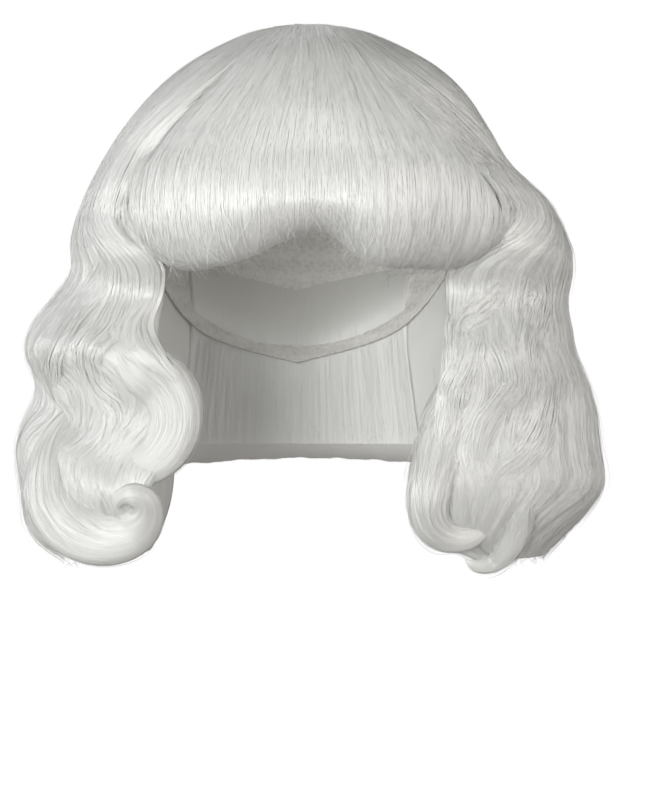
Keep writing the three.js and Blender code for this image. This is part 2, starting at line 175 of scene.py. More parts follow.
# Roll at the end of the back
BACK_ON_SHEET = 0.8
BACK_ROLL_Z = -0.188
BACK_BOTTOM_Z = -0.205
BACK_ROLL_DEPTH = 0.017
BACK_ROLL_TURN = math.radians(108)
BACK_ROLL_TUCK = 0.008

# Open hollow inside the hair: its depth behind, and its spread and depth in front
BACK_HOLLOW = 0.083
HOLLOW_FRONT_HALF = math.radians(46)
HOLLOW_FRONT_DEPTH = 0.076

# Front edge of each side, which turns in, and how the hair thins towards it and towards its tip
EDGE_ROUND = 0.006
EDGE_WRAP = 0.25
EDGE_TURN = math.radians(130)
EDGE_ROUNDING = 0.34
EDGE_THICKNESS = 0.1
TIP_ROUNDING = 0.2

# Depths below the origin over which the hair's inside leaves the cap for the open hollow
SHELTER_SIDE = (0.070, 0.100)
SHELTER_BACK = (0.105, 0.150)

# Waves of each side: their length, the height of a crest, their lean across the side and their relief, then
# how far the hair sways across in them, the height of a full sway, and its sweep off the fringe at the top
WAVES = {
    -1: {
        "length": 0.054, "crest": -0.152, "lean": 0.035, "rise": 0.0019,
        "sway": 0.025, "sway_crest": -0.146, "sweep": 0.05,
    },
    1: {
        "length": 0.060, "crest": -0.146, "lean": -0.030, "rise": 0.0018,
        "sway": 0.017, "sway_crest": -0.105, "sweep": 0.24,
    },
}
SWAY_COMES = (0.075, 0.150)
SWEEP_GOES = (0, 0.070)
SWEEP_SPREAD = 0.30

# Hook of the sides' ends towards the middle, by the depth below the origin and by the lane
END_HOOK = 0.22
HOOK_COMES = (0.205, 0.262)
HOOK_LANES = (0, 0.3)

# Waves of the back, and the span across over which waves fade out towards the seams behind
BACK_WAVE_LENGTH = 0.058
BACK_WAVE_RISE = 0.0018
BACK_WAVE_LEAN = 3
BACK_WAVES_COME = (0.080, 0.140)
REAR_FADE = (0.75, 1)

# Folds of the sides that show from the front: each runs from x0, z0 to x1, z1, and they come over a span
# before the upright axis
FOLDS = {
    -1: columns(
        "x0 z0 x1 z1 half_width height",
        (-0.130, -0.134, -0.101, -0.136, 0.008, -0.0018),
        (-0.128, -0.150, -0.108, -0.146, 0.009, 0.0010),
        (-0.137, -0.172, -0.118, -0.184, 0.009, -0.0036),
        (-0.118, -0.184, -0.098, -0.200, 0.009, -0.0040),
        (-0.092, -0.180, -0.084, -0.190, 0.007, -0.0030),
    ),
    1: columns(
        "x0 z0 x1 z1 half_width height",
        (0.088, -0.131, 0.104, -0.126, 0.010, -0.0014),
        (0.100, -0.182, 0.124, -0.174, 0.011, -0.0026),
        (0.096, -0.194, 0.118, -0.191, 0.009, 0.0012),
        (0.088, -0.207, 0.118, -0.219, 0.010, -0.0018),
    ),
}
FOLDS_COME = (0, 0.03)

# Seam of the sides with the fringe: the ridge beside it, and the groove along it on the wearer's right
SEAM_RIDGE = {-1: 0.0036, 1: 0.0018}
SEAM_PLACE = 0.10
SEAM_SPREAD = 0.11
SEAM_GROOVE = 0.0035
SEAM_GROOVE_PLACE = 0.93
SEAM_GROOVE_SPREAD = 0.07
SEAM_GROOVE_COMES = (0.02, 0.25)
SEAM_GROOVE_GOES = (0.45, 0.75)

# Hair of the sides that crosses the seam: how far across it reaches, how it lies over the fringe and dives
# under it, and how the mass below it sinks
SEAM_EDGE = {-1: 0.06, 1: 0.20}
SEAM_OVERLAP = 0.0003
SEAM_OVERLAP_COMES = (0, 0.06)
SEAM_DIVE = {-1: 0.004, 1: 0.0005}
SEAM_SINK = 0.006
SEAM_SINK_COMES = (-0.02, 0.08)

# Soft ridges along the hair: how many there are to a metre across, their height and how much they wander,
# the wanderings to a panel's length and to a metre across, and the share of the ridges on the sides' dome
RIPPLES = columns(
    "per_metre height wander",
    (38, 0.0007, 1.4),
    (83, 0.0004, 2.1),
    (171, 0.0002, 3.0),
)
RIPPLE_WANDERS_ALONG = 1.1
RIPPLE_WANDERS_ACROSS = 9
RIPPLE_ON_DOME = 0.4

# Each panel of hair: its width for each unit across, its length, its share of the ripples and their phase,
# and the seed of its random numbers
PANELS = named_rows(
    "width length ripple phase seed",
    crown=(0.44, 0.08, 0.15, 0.4, 13),
    fringe=(0.115, 0.17, 0.22, 2.3, 14),
    side=(0.21, 0.26, 0.35, 1.7, 16),
    back=(0.10, 0.24, 0.4, 4.1, 20),
    curl=(0.07, 0.16, 0.3, 0.9, 32),
)

# Grid that shapes the cap or a mass of hair: the shares that it spans across and along, and its steps
GRIDS = named_rows(
    "across along steps",
    cap=((0, 1), (0, 1), (84, 30)),
    crown=((0, 1), (0.004, 1), (90, 16)),
    fringe=((-1.04, 1.10), (0, 0.985), (96, 70)),
    side=((-0.07, 1), (0, 1), (84, 100)),
    back=((-1, 1), (0, 0.985), (70, 70)),
    curl=((0, 1), (0.001, 0.999), (24, 90)),
)
WELD = 1e-5

# Combed strands: the points of each, their lanes, the shares along within which they start and end, the
# clumps that gather them and how many there are, then their height where it isn't the common one
COMBED = named_rows(
    "samples lanes start end clumps count height",
    crown=(14, (0, 1), (0.03, 0.6), (1.15, 1.7), 180, 1500),
    fringe=(36, (-1.04, 1.10), (-0.14, 0.06), (0.93, 0.998), 200, 1900),
    side=(50, (-0.24, 1.02), (-0.10, 0.03), (0.9, 1.0), 160, 1500),
    side_inside=(12, (0.3, 1), (0.55, 0.66), (0.9, 0.99), 30, 150),
    back=(32, (-1.05, 1.05), (-0.10, 0.03), (0.9, 0.998), 60, 1100),
    back_inside=(10, (-1, 1), (0.5, 0.6), (0.9, 0.998), 50, 350, (-0.0001, 0.0004)),
    curl=(56, (0.14, 0.86), (0.02, 0.12), (0.86, 0.98), 30),
)

# How combed strands lie: their height over the sheet with its fuzz, and how they wander off their lane,
# then how far and where along a clump pulls them in, and its own lift, sway and share of their tone
STRAND_HEIGHT = (0, 0.0002)
FUZZ = 0.0001
FUZZ_CYCLES = 2.5
LANE_WANDER = 0.005
LANE_CYCLES = 1.2
CLUMP_PULL = 0.12
CLUMP_PULLS = (0.15, 0.9)
CLUMP_LIFT = 0.00005
CLUMP_SWAY = 0.2
CLUMP_TONE = 0.25

# Loose strands: the points of each, their lanes, the shares along within which they start, their lengths and
# how many there are, then their lift off the sheet, their stray across it and the drop of their ends
LOOSE = named_rows(
    "samples lanes start length count lift stray drop",
    brow=(16, (-1, 1), (0.55, 0.85), (0.15, 0.40), 200, 0.004, 0.08, 0.006),
    side=(20, (-0.15, 0.75), (0.05, 0.75), (0.2, 0.4), 150, 0.003, 0.05),
    side_ends=(20, (0.05, 0.45), (0.70, 0.88), (0.10, 0.25), 70, 0.0015, 0.09, 0.004),
    curl=(24, (0.25, 0.75), (0.05, 0.5), (0.25, 0.45)),
)
LOOSE_END = 0.995
LOOSE_LIFTS = (0.1, 1)
LOOSE_WANDER = 0.2
LOOSE_CYCLES = 1.0
LOOSE_TONES = (0.4, 1)

# Locks on the fringe's ends: their strands and the points of each, half their width, their rise, and the
# spots that they pass, as shares across and along the fringe
BROW_LOCKS = named_rows(
    "count samples wide rise spots",
    end_sweep=(50, 16, 0.006, 0.0006, (
        (-1.0, 0.60), (-0.97, 0.75), (-0.85, 0.88), (-0.66, 0.93), (-0.45, 0.95))),
    veil=(120, 16, 0.012, 0.0008, (
        (0.52, 0.08), (0.70, 0.30), (0.86, 0.50), (0.98, 0.66), (1.02, 0.80), (0.98, 0.93))),
)

# Locks on the sides' fronts: half the width of each, and the spots that it passes, as seen from the front
SIDE_LOCKS = {
    -1: (
        (0.011, ((-0.101, -0.100), (-0.111, -0.124), (-0.125, -0.146), (-0.128, -0.165),
                 (-0.122, -0.179), (-0.128, -0.196), (-0.132, -0.210))),
        (0.010, ((-0.092, -0.110), (-0.099, -0.134), (-0.109, -0.148), (-0.106, -0.165),
                 (-0.096, -0.177), (-0.101, -0.194), (-0.111, -0.206))),
    ),
    1: (
        (0.008, ((0.0955, -0.110), (0.0883, -0.120), (0.0787, -0.129), (0.0700, -0.135),
                 (0.0665, -0.143), (0.0660, -0.155))),
        (0.008, ((0.0763, -0.1386), (0.0720, -0.153), (0.0660, -0.1674), (0.0615, -0.178),
                 (0.0605, -0.1914), (0.0610, -0.206))),
        (0.009, ((0.0859, -0.1386), (0.0941, -0.153), (0.0965, -0.165), (0.0897, -0.1746),
                 (0.0825, -0.1842), (0.0787, -0.1962), (0.0780, -0.208))),
        (0.010, ((0.1171, -0.160), (0.1152, -0.177), (0.1075, -0.1914), (0.0979, -0.202),
                 (0.0883, -0.2106), (0.0835, -0.2226))),
        (0.010, ((0.112, -0.105), (0.113, -0.122), (0.107, -0.138), (0.104, -0.152), (0.109, -0.166))),
    ),
}
SIDE_LOCK = {"count": 90, "samples": 20, "rise": 0.0012}

# Form of a lock: where its strands start and end, the shares of its width and rise at places along it,
# how its strands wander, how deep their layers lie, and their tones
LOCK_STARTS = (0, 0.16)
LOCK_ENDS = (0.84, 1)
LOCK_WIDTHS = ((0, 0.3, 0.75, 1), (0.7, 1, 0.85, 0.35))
LOCK_RISES = ((0, 0.25, 0.8, 1), (-0.15, 1, 0.8, 0))
LOCK_WANDER = 0.07
LOCK_CYCLES = 1.4
LOCK_FUZZ = 0.0003
LOCK_LAYERS = 0.25
LOCK_TONES = (0.25, 0.95)

# Centre lines of the curls, as seen from the front, with how proud of the side each stands there, and the
# half sizes of their sections at the root, at the fullest place and at the tip. Then the strands on each, the
# points to each side over which its bends are evened, and its loose strands
CURLS = {
    "right_cheek_curl": {
        "way": -1,
        "line": columns(
            "x z proud",
            (-0.1011, -0.1246, -0.009),
            (-0.0963, -0.1413, -0.003),
            (-0.0844, -0.1555, -0.001),
            (-0.0726, -0.1651, 0.001),
            (-0.0673, -0.1770, 0.005),
            (-0.0683, -0.1889, 0.006),
            (-0.0749, -0.1989, 0.004),
            (-0.0844, -0.2046, 0.001),
            (-0.0963, -0.2074, -0.004),
        ),
        "wide": (0.004, 0.0135, 0.011),
        "deep": (0.004, 0.009, 0.008),
        "count": 240,
        "evening": 9,
        "loose": {"count": 80, "lift": 0.0016, "stray": 0.08},
    },
    "right_end_curl": {
        "way": -1,
        "line": columns(
            "x z proud",
            (-0.1130, -0.1720, -0.009),
            (-0.1230, -0.1880, -0.005),
            (-0.1262, -0.2040, 0.002),
            (-0.1240, -0.2190, 0.006),
            (-0.1150, -0.2315, 0.008),
            (-0.1010, -0.2375, 0.009),
            (-0.0880, -0.2355, 0.009),
            (-0.0815, -0.2275, 0.009),
            (-0.0825, -0.2198, 0.009),
            (-0.0892, -0.2170, 0.009),
            (-0.0949, -0.2203, 0.008),
            (-0.0949, -0.2246, 0.006),
        ),
        "wide": (0.005, 0.0165, 0.006),
        "deep": (0.005, 0.011, 0.007),
        "count": 300,
        "evening": 5,
        "loose": {"count": 80, "lift": 0.0016, "stray": 0.08},
    },
    "left_cheek_curl": {
        "way": 1,
        "line": columns(
            "x z proud",
            (0.0800, -0.1300, -0.008),
            (0.0740, -0.1500, -0.005),
            (0.0690, -0.1680, -0.003),
            (0.0640, -0.1840, -0.001),
            (0.0595, -0.1990, 0.001),
            (0.0560, -0.2120, 0.004),
            (0.0540, -0.2220, 0.006),
            (0.0560, -0.2315, 0.008),
            (0.0631, -0.2378, 0.008),
            (0.0726, -0.2388, 0.006),
            (0.0812, -0.2350, 0.002),
            (0.0855, -0.2283, -0.004),
        ),
        "wide": (0.005, 0.0125, 0.007),
        "deep": (0.005, 0.009, 0.006),
        "count": 270,
        "evening": 9,
        "loose": {"count": 110, "lift": 0.0035, "stray": 0.14},
    },
    "left_end_curl": {
        "way": 1,
        "line": columns(
            "x z proud",
            (0.1060, -0.2000, -0.012),
            (0.0985, -0.2200, -0.006),
            (0.0960, -0.2350, 0.001),
            (0.0926, -0.2446, 0.006),
            (0.0869, -0.2512, 0.007),
            (0.0793, -0.2532, 0.007),
            (0.0736, -0.2493, 0.005),
        ),
        "wide": (0.004, 0.011, 0.003),
        "deep": (0.004, 0.009, 0.003),
        "count": 150,
        "evening": 9,
        "loose": {"count": 90, "lift": 0.0035, "stray": 0.14},
    },
}

# All curls: the share along where they are fullest, how blunt their ends are, the points of their centre
# lines, and the span from each end over which their ripples come
CURL_FULLEST = 0.45
CURL_BLUNT = 4
CURL_FINENESS = 160
CURL_RIPPLES_COME = (0, 0.1)

# Wandering of a strand: its paces, then the pace and share of its quick part and the reach of both together
WANDER_PACES = (0.7, 1.3)
QUICK_PACE = 2.3
QUICK_SHARE = 0.45
WANDER_REACH = 1.3

# Sides of a strand's section: flat strands lie on a mass, and round ones hang free
FLAT = 2
ROUND = 3

# Form of a strand: its tip and the loose strands' thickness as shares, how sharply it tapers at each end, how
# far flat ones seem to roll, and the share of the mass's own shading in that of each
TIP_SHARE = 0.25
LOOSE_SHARE = 0.65
ROOT_TAPER = 12
TIP_TAPER = 5
STRAND_ROLL = math.radians(30)
SOFTNESS = 0.90

# Place of a strand's corners in its own column of the chart
CHART_MARGIN = 0.2
CHART_STEP = 0.3
CHART_MIDDLE = 0.5

# Gloss of the fibre, then the streaks of the combed mass: their size, detail and relief
FIBRE_IOR = 1.9
FIBRE_SPECULAR = 1.0
FIBRE_ANISOTROPY = 0.8
STREAK_WIDTH = 0.0007
STREAK_LENGTH = 0.045
STREAK_DETAIL = 3.0
STREAK_STRENGTH = 0.25
STREAK_RELIEF = 0.0006

# Finish of the cap: its roughness, the scales of its rows and net, the rows' share and the relief
CAP_ROUGHNESS = 0.85
CAP_ROWS = 28
CAP_NET = 420
CAP_ROWS_SHARE = 0.5
CAP_RELIEF = 0.0006

# Stage: the floor, and the room's light from below, from all round and from above
WHITE = (1, 1, 1, 1)
FLOOR_RADIUS = 0.75
FLOOR_CORNERS = 96
FLOOR_ROUGHNESS = 0.9
FLOOR_COLOUR = (0.40, 0.38, 0.37, 1)
FLOOR_GLOW = 0.75
ROOM_BELOW = (0.12, 0.08, 0.06)
ROOM_ROUND = (0.60, 0.60, 0.59, 1)
ROOM_ABOVE = (0.19, 0.19, 0.19)

# Lights round the wig, and the spot that they point at
LIGHTS = named_rows(
    "place size power colour",
    key=((-0.95, -1.95, -0.20), 0.9, 22.5, (1.0, 1.0, 0.99)),
    side=((-1.9, -0.2, 0.1), 1.2, 12, (1.0, 1.0, 1.0)),
    back=((-0.9, 1.7, 0.8), 1.4, 14, (1.0, 1.0, 1.0)),
    fill=((1.6, -1.4, 0.4), 1.4, 15, (1.0, 0.95, 0.91)),
)
LIGHTS_TARGET = (0, 0, -0.13)

# Camera: its lens and sensor in millimetres, and the spot that it points at
CAMERA_LENS = 153.6
CAMERA_SENSOR = 36
CAMERA_TARGET = (0.008, 0, -0.1715)

# Steps of the lines that places are looked up on, the step that finds a surface's slope, and the least length
OUTLINE_STEPS = 4000
RIM_STEPS = 1000
SPOT_STEPS = 80
PATH_STEPS = 400
LOCK_STEPS = 100
SLOPE_STEP = 1e-3
LEAST_LENGTH = 1e-12


def lerp(a, b, t):
    """Value between a and b."""
    return a + (b - a) * t


def ease(value, low, high):
    """Smooth share of the way from low to high."""
    t = np.clip((value - low) / (high - low), 0, 1)
    return t * t * (3 - 2 * t)


def points(x, y, z):
    """Points from arrays of coordinates."""
    return np.stack(np.broadcast_arrays(x, y, z), axis=-1)


def column(table, name, place):
    """Value of a table's column at a place on the row scale, on a smooth curve through the rows."""
    values = table[name]
    last = len(values) - 1
    row = np.clip(np.floor(place), 0, last - 1).astype(int)
    before, here, after, beyond = (values[np.clip(row + step, 0, last)] for step in (-1, 0, 1, 2))
    t = place - row
    slope_in = (after - before) / 2
    slope_out = (beyond - here) / 2
    rise = after - here
    bend = 3 * rise - 2 * slope_in - slope_out
    twist = slope_in + slope_out - 2 * rise
    return here + t * (slope_in + t * (bend + t * twist))


def outline_place(z):
    """Place on the outline's row scale of a height."""
    places = np.linspace(0, LAST_ROW, OUTLINE_STEPS)
    return np.interp(-z, -column(OUTLINE, "z", places), places)


PANEL_START = outline_place(PANEL_START_Z)
ROLL_TOP = outline_place(ROLL_TOP_Z)
BACK_ROLL = outline_place(BACK_ROLL_Z)


def face_edge(name, place):
    """Value of a column of the face's edge at a place on the outline's row scale."""
    return column(FACE_EDGE, name, np.clip(place - FACE_EDGE_FIRST, 0, LAST_ROW - FACE_EDGE_FIRST))


def mound(off, spread):
    """Height of a soft mound, one in its middle, at a distance from there."""
    return np.exp(-((off / spread) ** 2))


def unit(vectors):
    """Vectors of length one."""
    return vectors / np.maximum(np.linalg.norm(vectors, axis=-1, keepdims=True), LEAST_LENGTH)


def square_to(lines, vectors):
    """Vectors of length one, leant over until they are square to lines."""
    return unit(vectors - lines * np.sum(vectors * lines, axis=-1, keepdims=True))


def head_point(turn, down, grow):
    """Point of the head's ellipsoid, grown outwards."""
    across = np.sin(down)
    return points(
        (HEAD_HALF_WIDTH + grow) * across * np.sin(turn),
        -(HEAD_HALF_LENGTH + grow) * across * np.cos(turn),
        (HEAD_TOP_TO_WIDEST + grow) * np.cos(down) - HEAD_TOP_TO_WIDEST,
    )


def cap_rim(turn):
    """Angle down from the top to the cap's rim, by the angle round from the front."""
    from_front = np.degrees(np.abs(np.arctan2(np.sin(turn), np.cos(turn))))
    place = np.linspace(0, len(CAP_RIM["round"]) - 1, RIM_STEPS)
    at = np.interp(from_front, column(CAP_RIM, "round", place), place)
    return np.radians(column(CAP_RIM, "down", at))


def cap_layer(grow):
    """Surface of the cap, by the shares round it and down to its rim."""
    def place(across, along):
        turn = 2 * math.pi * across
        return head_point(turn, along * cap_rim(turn), grow)

    return place


def seat_under(point):
    """Where the line from the middle of the head to a point meets the hair's seat on the cap."""
    middle = np.array([0, 0, -HEAD_TOP_TO_WIDEST])
    half = np.array([HEAD_HALF_WIDTH, HEAD_HALF_LENGTH, HEAD_TOP_TO_WIDEST]) + SEAT_GROW
    out = point - middle
    return middle + out / np.linalg.norm(out / half, axis=-1, keepdims=True)


def dome(turn, place):
    """Point of the hair's outline on the dome, by the angle round from the front."""
    sideways, forward = np.sin(turn), np.cos(turn)
    side = np.where(sideways < 0, column(OUTLINE, "right", place), column(OUTLINE, "left", place))
    depth = np.where(forward > 0, column(OUTLINE, "front", place), column(OUTLINE, "back", place))
    return points(side * sideways, -depth * forward, column(OUTLINE, "z", place))


def fringe_half(place):
    """Angle round from the front to the fringe's edge."""
    return lerp(FRINGE_HALF_TOP, FRINGE_HALF_BOTTOM, ease(place, PANEL_START, ROLL_TOP))


class Sheet:
    """A surface of hair, by the shares across and along it; hand says which way round its outside is."""

    def __init__(self, place, hand):
        self.place = place
        self.hand = hand

    def at(self, across, along, height=0.0):
        """Points at a height over the surface, and its normals there."""
        across, along, height = np.broadcast_arrays(across, along, height)
        by_across = self.place(across + SLOPE_STEP, along) - self.place(across - SLOPE_STEP, along)
        by_along = self.place(across, along + SLOPE_STEP) - self.place(across, along - SLOPE_STEP)
        normal = self.hand * unit(np.cross(by_across, by_along))
        return self.place(across, along) + normal * height[..., None], normal

    def raised(self, relief):
        """The surface with a relief on it, worked out from the shares and the points."""
        def place(across, along):
            point, normal = self.at(across, along)
            return point + normal * relief(across, along, point)[..., None]

        return Sheet(place, self.hand)

    def sunk(self, depth):
        """Places under the surface, for the mass that the strands lie on; depth is a value or a function."""
        def place(across, along):
            deep = depth(across, along) if callable(depth) else depth
            return self.at(across, along, -deep)[0]

        return place


def ripples(panel, lane, along, shift=0):
    """Height of the soft ridges at a lane of a panel and a share along it."""
    size = PANELS[panel]
    metres = lane * size["width"]
    phase = size["phase"] + shift
    total = 0
    for number, (pace, height, drift) in enumerate(zip(*RIPPLES.values())):
        wanders = RIPPLE_WANDERS_ALONG * along + RIPPLE_WANDERS_ACROSS * metres
        bend = drift * np.sin(2 * math.pi * wanders + phase + number)
        total = total + height * np.cos(2 * math.pi * pace * metres + bend + phase * (number + 1))
    return size["ripple"] * total


def crown_place(across, along):
    """Top of the dome, from the whorl behind its middle out to the panels and on over them."""
    turn = math.pi + 2 * math.pi * across
    off = WHORL * np.maximum(1 - along, 0) ** 2
    x = along * np.sin(turn)
    y = off - along * np.cos(turn)
    return dome(np.arctan2(x, -y), np.hypot(x, y) * PANEL_START)


def crown_relief(across, along, point):
    """Ripples of the crown, none at its seam behind."""
    from_seam = ease(np.minimum(across % 1, 1 - across % 1), *CROWN_SEAM)
    return ripples("crown", across, along) * from_seam


def notch_at(turn):
    """How deep in the fringe's middle notch an angle round from the front is."""
    return mound(turn, np.where(turn < 0, NOTCH_HALF_RIGHT, NOTCH_HALF_LEFT))


def fringe_place(across, along):
    """Fringe: down the dome to the roll's front and round under it; across runs from -1 to 1."""
    place = lerp(PANEL_START, ROLL_TOP, np.minimum(along / FRINGE_ON_DOME, 1 + ROLL_BLEND))
    turn = across * fringe_half(place)
    notch = notch_at(turn)
    dent = NOTCH_DENT * notch * ease(along, FRINGE_ON_DOME / 2, FRINGE_ON_DOME)
    upper = dome(turn, place)
    upper[..., 1] += dent
    share = np.clip((along - FRINGE_ON_DOME) / (1 - FRINGE_ON_DOME), -ROLL_BLEND, 1)
    roll = lerp(ROLL_FROM, ROLL_TO, share)
    end = 1 - np.sqrt(1 - np.minimum(np.abs(across), 1) ** ROLL_END_POWER)
    inset = ROLL_DEPTH * (1 - np.cos(roll)) + end * ROLL_END_INSET * ease(roll, ROLL_FROM, 0)
    bottom = ROLL_BOTTOM_Z + NOTCH_RISE * notch + ROLL_END_RISE * end
    above = (ROLL_FRONT_Z - ROLL_TOP_Z) / math.sin(ROLL_FROM)
    below = np.where(roll > 0, ROLL_FRONT_Z - bottom, above)
    lower = points(
        (ROLL_SIDE_REACH - inset) * np.sin(turn),
        -(ROLL_FRONT_REACH - dent - inset) * np.cos(turn),
        ROLL_FRONT_Z - below * np.sin(roll),
    )
    joined_at = ease(along, FRINGE_ON_DOME * (1 - ROLL_BLEND), FRINGE_ON_DOME * (1 + ROLL_BLEND))
    flare = np.where(across < 0, FLARE_RIGHT, FLARE_LEFT) * ease(np.abs(across), *FLARE_ACROSS)
    spread = 1 + flare * ease(along, *FLARE_COMES) * (1 - ease(along, *FLARE_GOES))
    return lerp(upper, lower, joined_at[..., None]) * points(spread, spread, 1)


def fringe_relief(across, along, point):
    """Ripples of the fringe, and the groove along its seam on the wearer's right."""
    groove = mound(across + SEAM_GROOVE_PLACE, SEAM_GROOVE_SPREAD)
    groove = groove * ease(along, *SEAM_GROOVE_COMES) * (1 - ease(along, *SEAM_GROOVE_GOES))
    return ripples("fringe", across, along) - SEAM_GROOVE * groove


def fringe_inside(across, along):
    """Inside of the fringe, on the cap and across the brow."""
    seat = seat_under(fringe_place(across, np.minimum(along, FRINGE_ON_DOME)))
    share = np.clip((along - FRINGE_ON_DOME) / (1 - FRINGE_ON_DOME), 0, 1)
    spread = lerp(1, BROW_SPREAD, share)
    brow = BROW_Z + NOTCH_RISE * notch_at(across * FRINGE_HALF_BOTTOM)
    return points(seat[..., 0] * spread, seat[..., 1] * spread, lerp(seat[..., 2], brow, share))


def curtain_at(z):
    """How far a side has left the dome for its curtain at a height."""
    return ease(-z, -DOME_END_Z, -CURTAIN_START_Z)


def side_row(along):
    """Place on the outline's row scale of a share along a side."""
    return lerp(PANEL_START, LAST_ROW, along)


def side_place(way, across, along):
    """A side, from the face's edge round to the back; below 0, across rounds that edge inwards."""
    name = "right" if way < 0 else "left"
    place = side_row(along)
    z = column(OUTLINE, "z", place)
    curtain = curtain_at(z)
    wave = WAVES[way]
    from_crest = z - wave["crest"] - wave["lean"] * across
    swell = curtain * wave["rise"] * np.cos(2 * math.pi * from_crest / wave["length"])
    swell = swell * (1 - ease(across, *REAR_FADE))
    ridge = SEAM_RIDGE[way] * (1 - curtain) * mound(across - SEAM_PLACE, SEAM_SPREAD)
    reach = column(OUTLINE, name, place) + swell + ridge
    front = column(OUTLINE, "front", place) + swell + ridge
    back = column(OUTLINE, "back", place) + swell
    edge = face_edge(name, place) + EDGE_ROUND
    rear_turn = (2 * across - 1) * SIDE_BACK
    rear = points(way * reach * np.cos(rear_turn), back * np.sin(rear_turn), z)
    dome_turn = lerp(fringe_half(place), math.pi / 2, 2 * across)
    upper = points(way * reach * np.sin(dome_turn), -front * np.cos(dome_turn), z)
    low_turn = np.maximum(across, 0) * math.pi
    wrap = EDGE_TURN * np.clip(-across / EDGE_WRAP, 0, 1)
    lower = points(
        way * (edge + (reach - edge) * np.sin(low_turn) - EDGE_ROUND * np.sin(wrap)),
        -front * np.cos(low_turn) + EDGE_ROUND * (1 - np.cos(wrap)),
        z,
    )
    fore = lerp(upper, lower, curtain[..., None])
    return np.where((across > 0.5)[..., None], rear, fore)


def side_sway(way, lane, along, phase=0.0):
    """Shift across of a side's hair, which sways in the waves and hooks in at its end.

    At the top it is gathered at the seam and sweeps off the fringe.
    """
    wave = WAVES[way]
    z = column(OUTLINE, "z", side_row(along))
    swing = np.cos(2 * math.pi * (z - wave["sway_crest"]) / wave["length"] + phase)
    swing = wave["sway"] * ease(-z, *SWAY_COMES) * swing
    hook = END_HOOK * ease(-z, *HOOK_COMES) * ease(lane, *HOOK_LANES)
    gathered = np.minimum(lane + SEAM_EDGE[way], 0) * (1 - curtain_at(z))
    sweep = wave["sweep"] * (1 - ease(-z, *SWEEP_GOES)) * mound(lane, SWEEP_SPREAD)
    return swing - hook - gathered - sweep


def fold_heights(folds, point):
    """Height of the folds at points of a side, none behind its front."""
    x, y, z = np.moveaxis(point, -1, 0)
    total = 0
    for x0, z0, x1, z1, half_width, height in zip(*folds.values()):
        run, drop = x1 - x0, z1 - z0
        share = np.clip(((x - x0) * run + (z - z0) * drop) / (run**2 + drop**2), 0, 1)
        apart = np.hypot(x - x0 - share * run, z - z0 - share * drop)
        total = total + height * mound(apart, half_width)
    return total * ease(-y, *FOLDS_COME)


def side_relief(way):
    """Relief of a side: folds, ripples, and the seam's hair, which lies over the fringe and dives under."""
    def relief(across, along, point):
        curtain = curtain_at(point[..., 2])
        lane = across - side_sway(way, across, along)
        over = SEAM_OVERLAP * ease(-across, *SEAM_OVERLAP_COMES)
        dive = SEAM_DIVE[way] * ease(-lane, 0, SEAM_EDGE[way])
        rippled = ripples("side", lane, along, way) * lerp(RIPPLE_ON_DOME, 1, curtain)
        return fold_heights(FOLDS[way], point) + rippled + (over - dive) * (1 - curtain)

    return relief


def side_mass_depth(depth):
    """Depth of a side's mass, which goes under the fringe at the seam."""
    def deep(across, along):
        z = column(OUTLINE, "z", side_row(along))
        return depth + SEAM_SINK * ease(-across, *SEAM_SINK_COMES) * (1 - curtain_at(z))

    return deep


def inside_under(point, hollow, to_back):
    """Inside of the hair under a point: on the cap above, and on the open hollow below."""
    leave, clear = (lerp(side, back, to_back) for side, back in zip(SHELTER_SIDE, SHELTER_BACK))
    return lerp(seat_under(point), hollow, ease(-point[..., 2], leave, clear)[..., None])


def side_inside(way, across, along):
    """Inside of a side."""
    point = side_place(way, across, along)
    to_back = np.maximum(2 * across - 1, 0)
    turn = np.where(across > 0.5, to_back * SIDE_BACK, (2 * across - 1) * HOLLOW_FRONT_HALF)
    depth = np.where(across > 0.5, BACK_HOLLOW, HOLLOW_FRONT_DEPTH)
    half = face_edge("hollow", side_row(along))
    hollow = points(way * half * np.cos(turn), depth * np.sin(turn), point[..., 2])
    inside = inside_under(point, hollow, to_back)
    from_edge = 1 - np.clip(across / EDGE_ROUNDING, 0, 1)
    from_tip = np.clip((along - 1 + TIP_ROUNDING) / TIP_ROUNDING, 0, 1)
    rounding = lerp(1, np.sqrt(1 - from_edge**2), curtain_at(point[..., 2])) * np.sqrt(1 - from_tip**2)
    return lerp(point, inside, np.maximum(EDGE_THICKNESS, rounding)[..., None])


def back_shares(along):
    """Place on the outline's row scale of a share along the back, and the share of its roll turned there."""
    place = lerp(PANEL_START, BACK_ROLL, np.minimum(along / BACK_ON_SHEET, 1))
    return place, np.clip((along - BACK_ON_SHEET) / (1 - BACK_ON_SHEET), 0, 1)


def back_place(across, along):
    """Back of the hair, down to the roll at its end; across runs from -1 to 1."""
    place, rolled = back_shares(along)
    point = dome(math.pi - across * BACK_HALF, place)
    turn = BACK_ROLL_TURN * rolled
    reach = np.hypot(point[..., 0], point[..., 1])
    shrink = 1 - BACK_ROLL_DEPTH * (1 - np.cos(turn)) / reach
    drop = (BACK_ROLL_Z - BACK_BOTTOM_Z) * np.sin(turn)
    return points(point[..., 0] * shrink, point[..., 1] * shrink, point[..., 2] - drop)


def back_relief(across, along, point):
    """Waves and ripples of the back."""
    z = point[..., 2]
    wave = np.cos(2 * math.pi * z / BACK_WAVE_LENGTH + BACK_WAVE_LEAN * across)
    waves = BACK_WAVE_RISE * ease(-z, *BACK_WAVES_COME) * wave
    return (waves + ripples("back", across, along)) * (1 - ease(np.abs(across), *REAR_FADE))


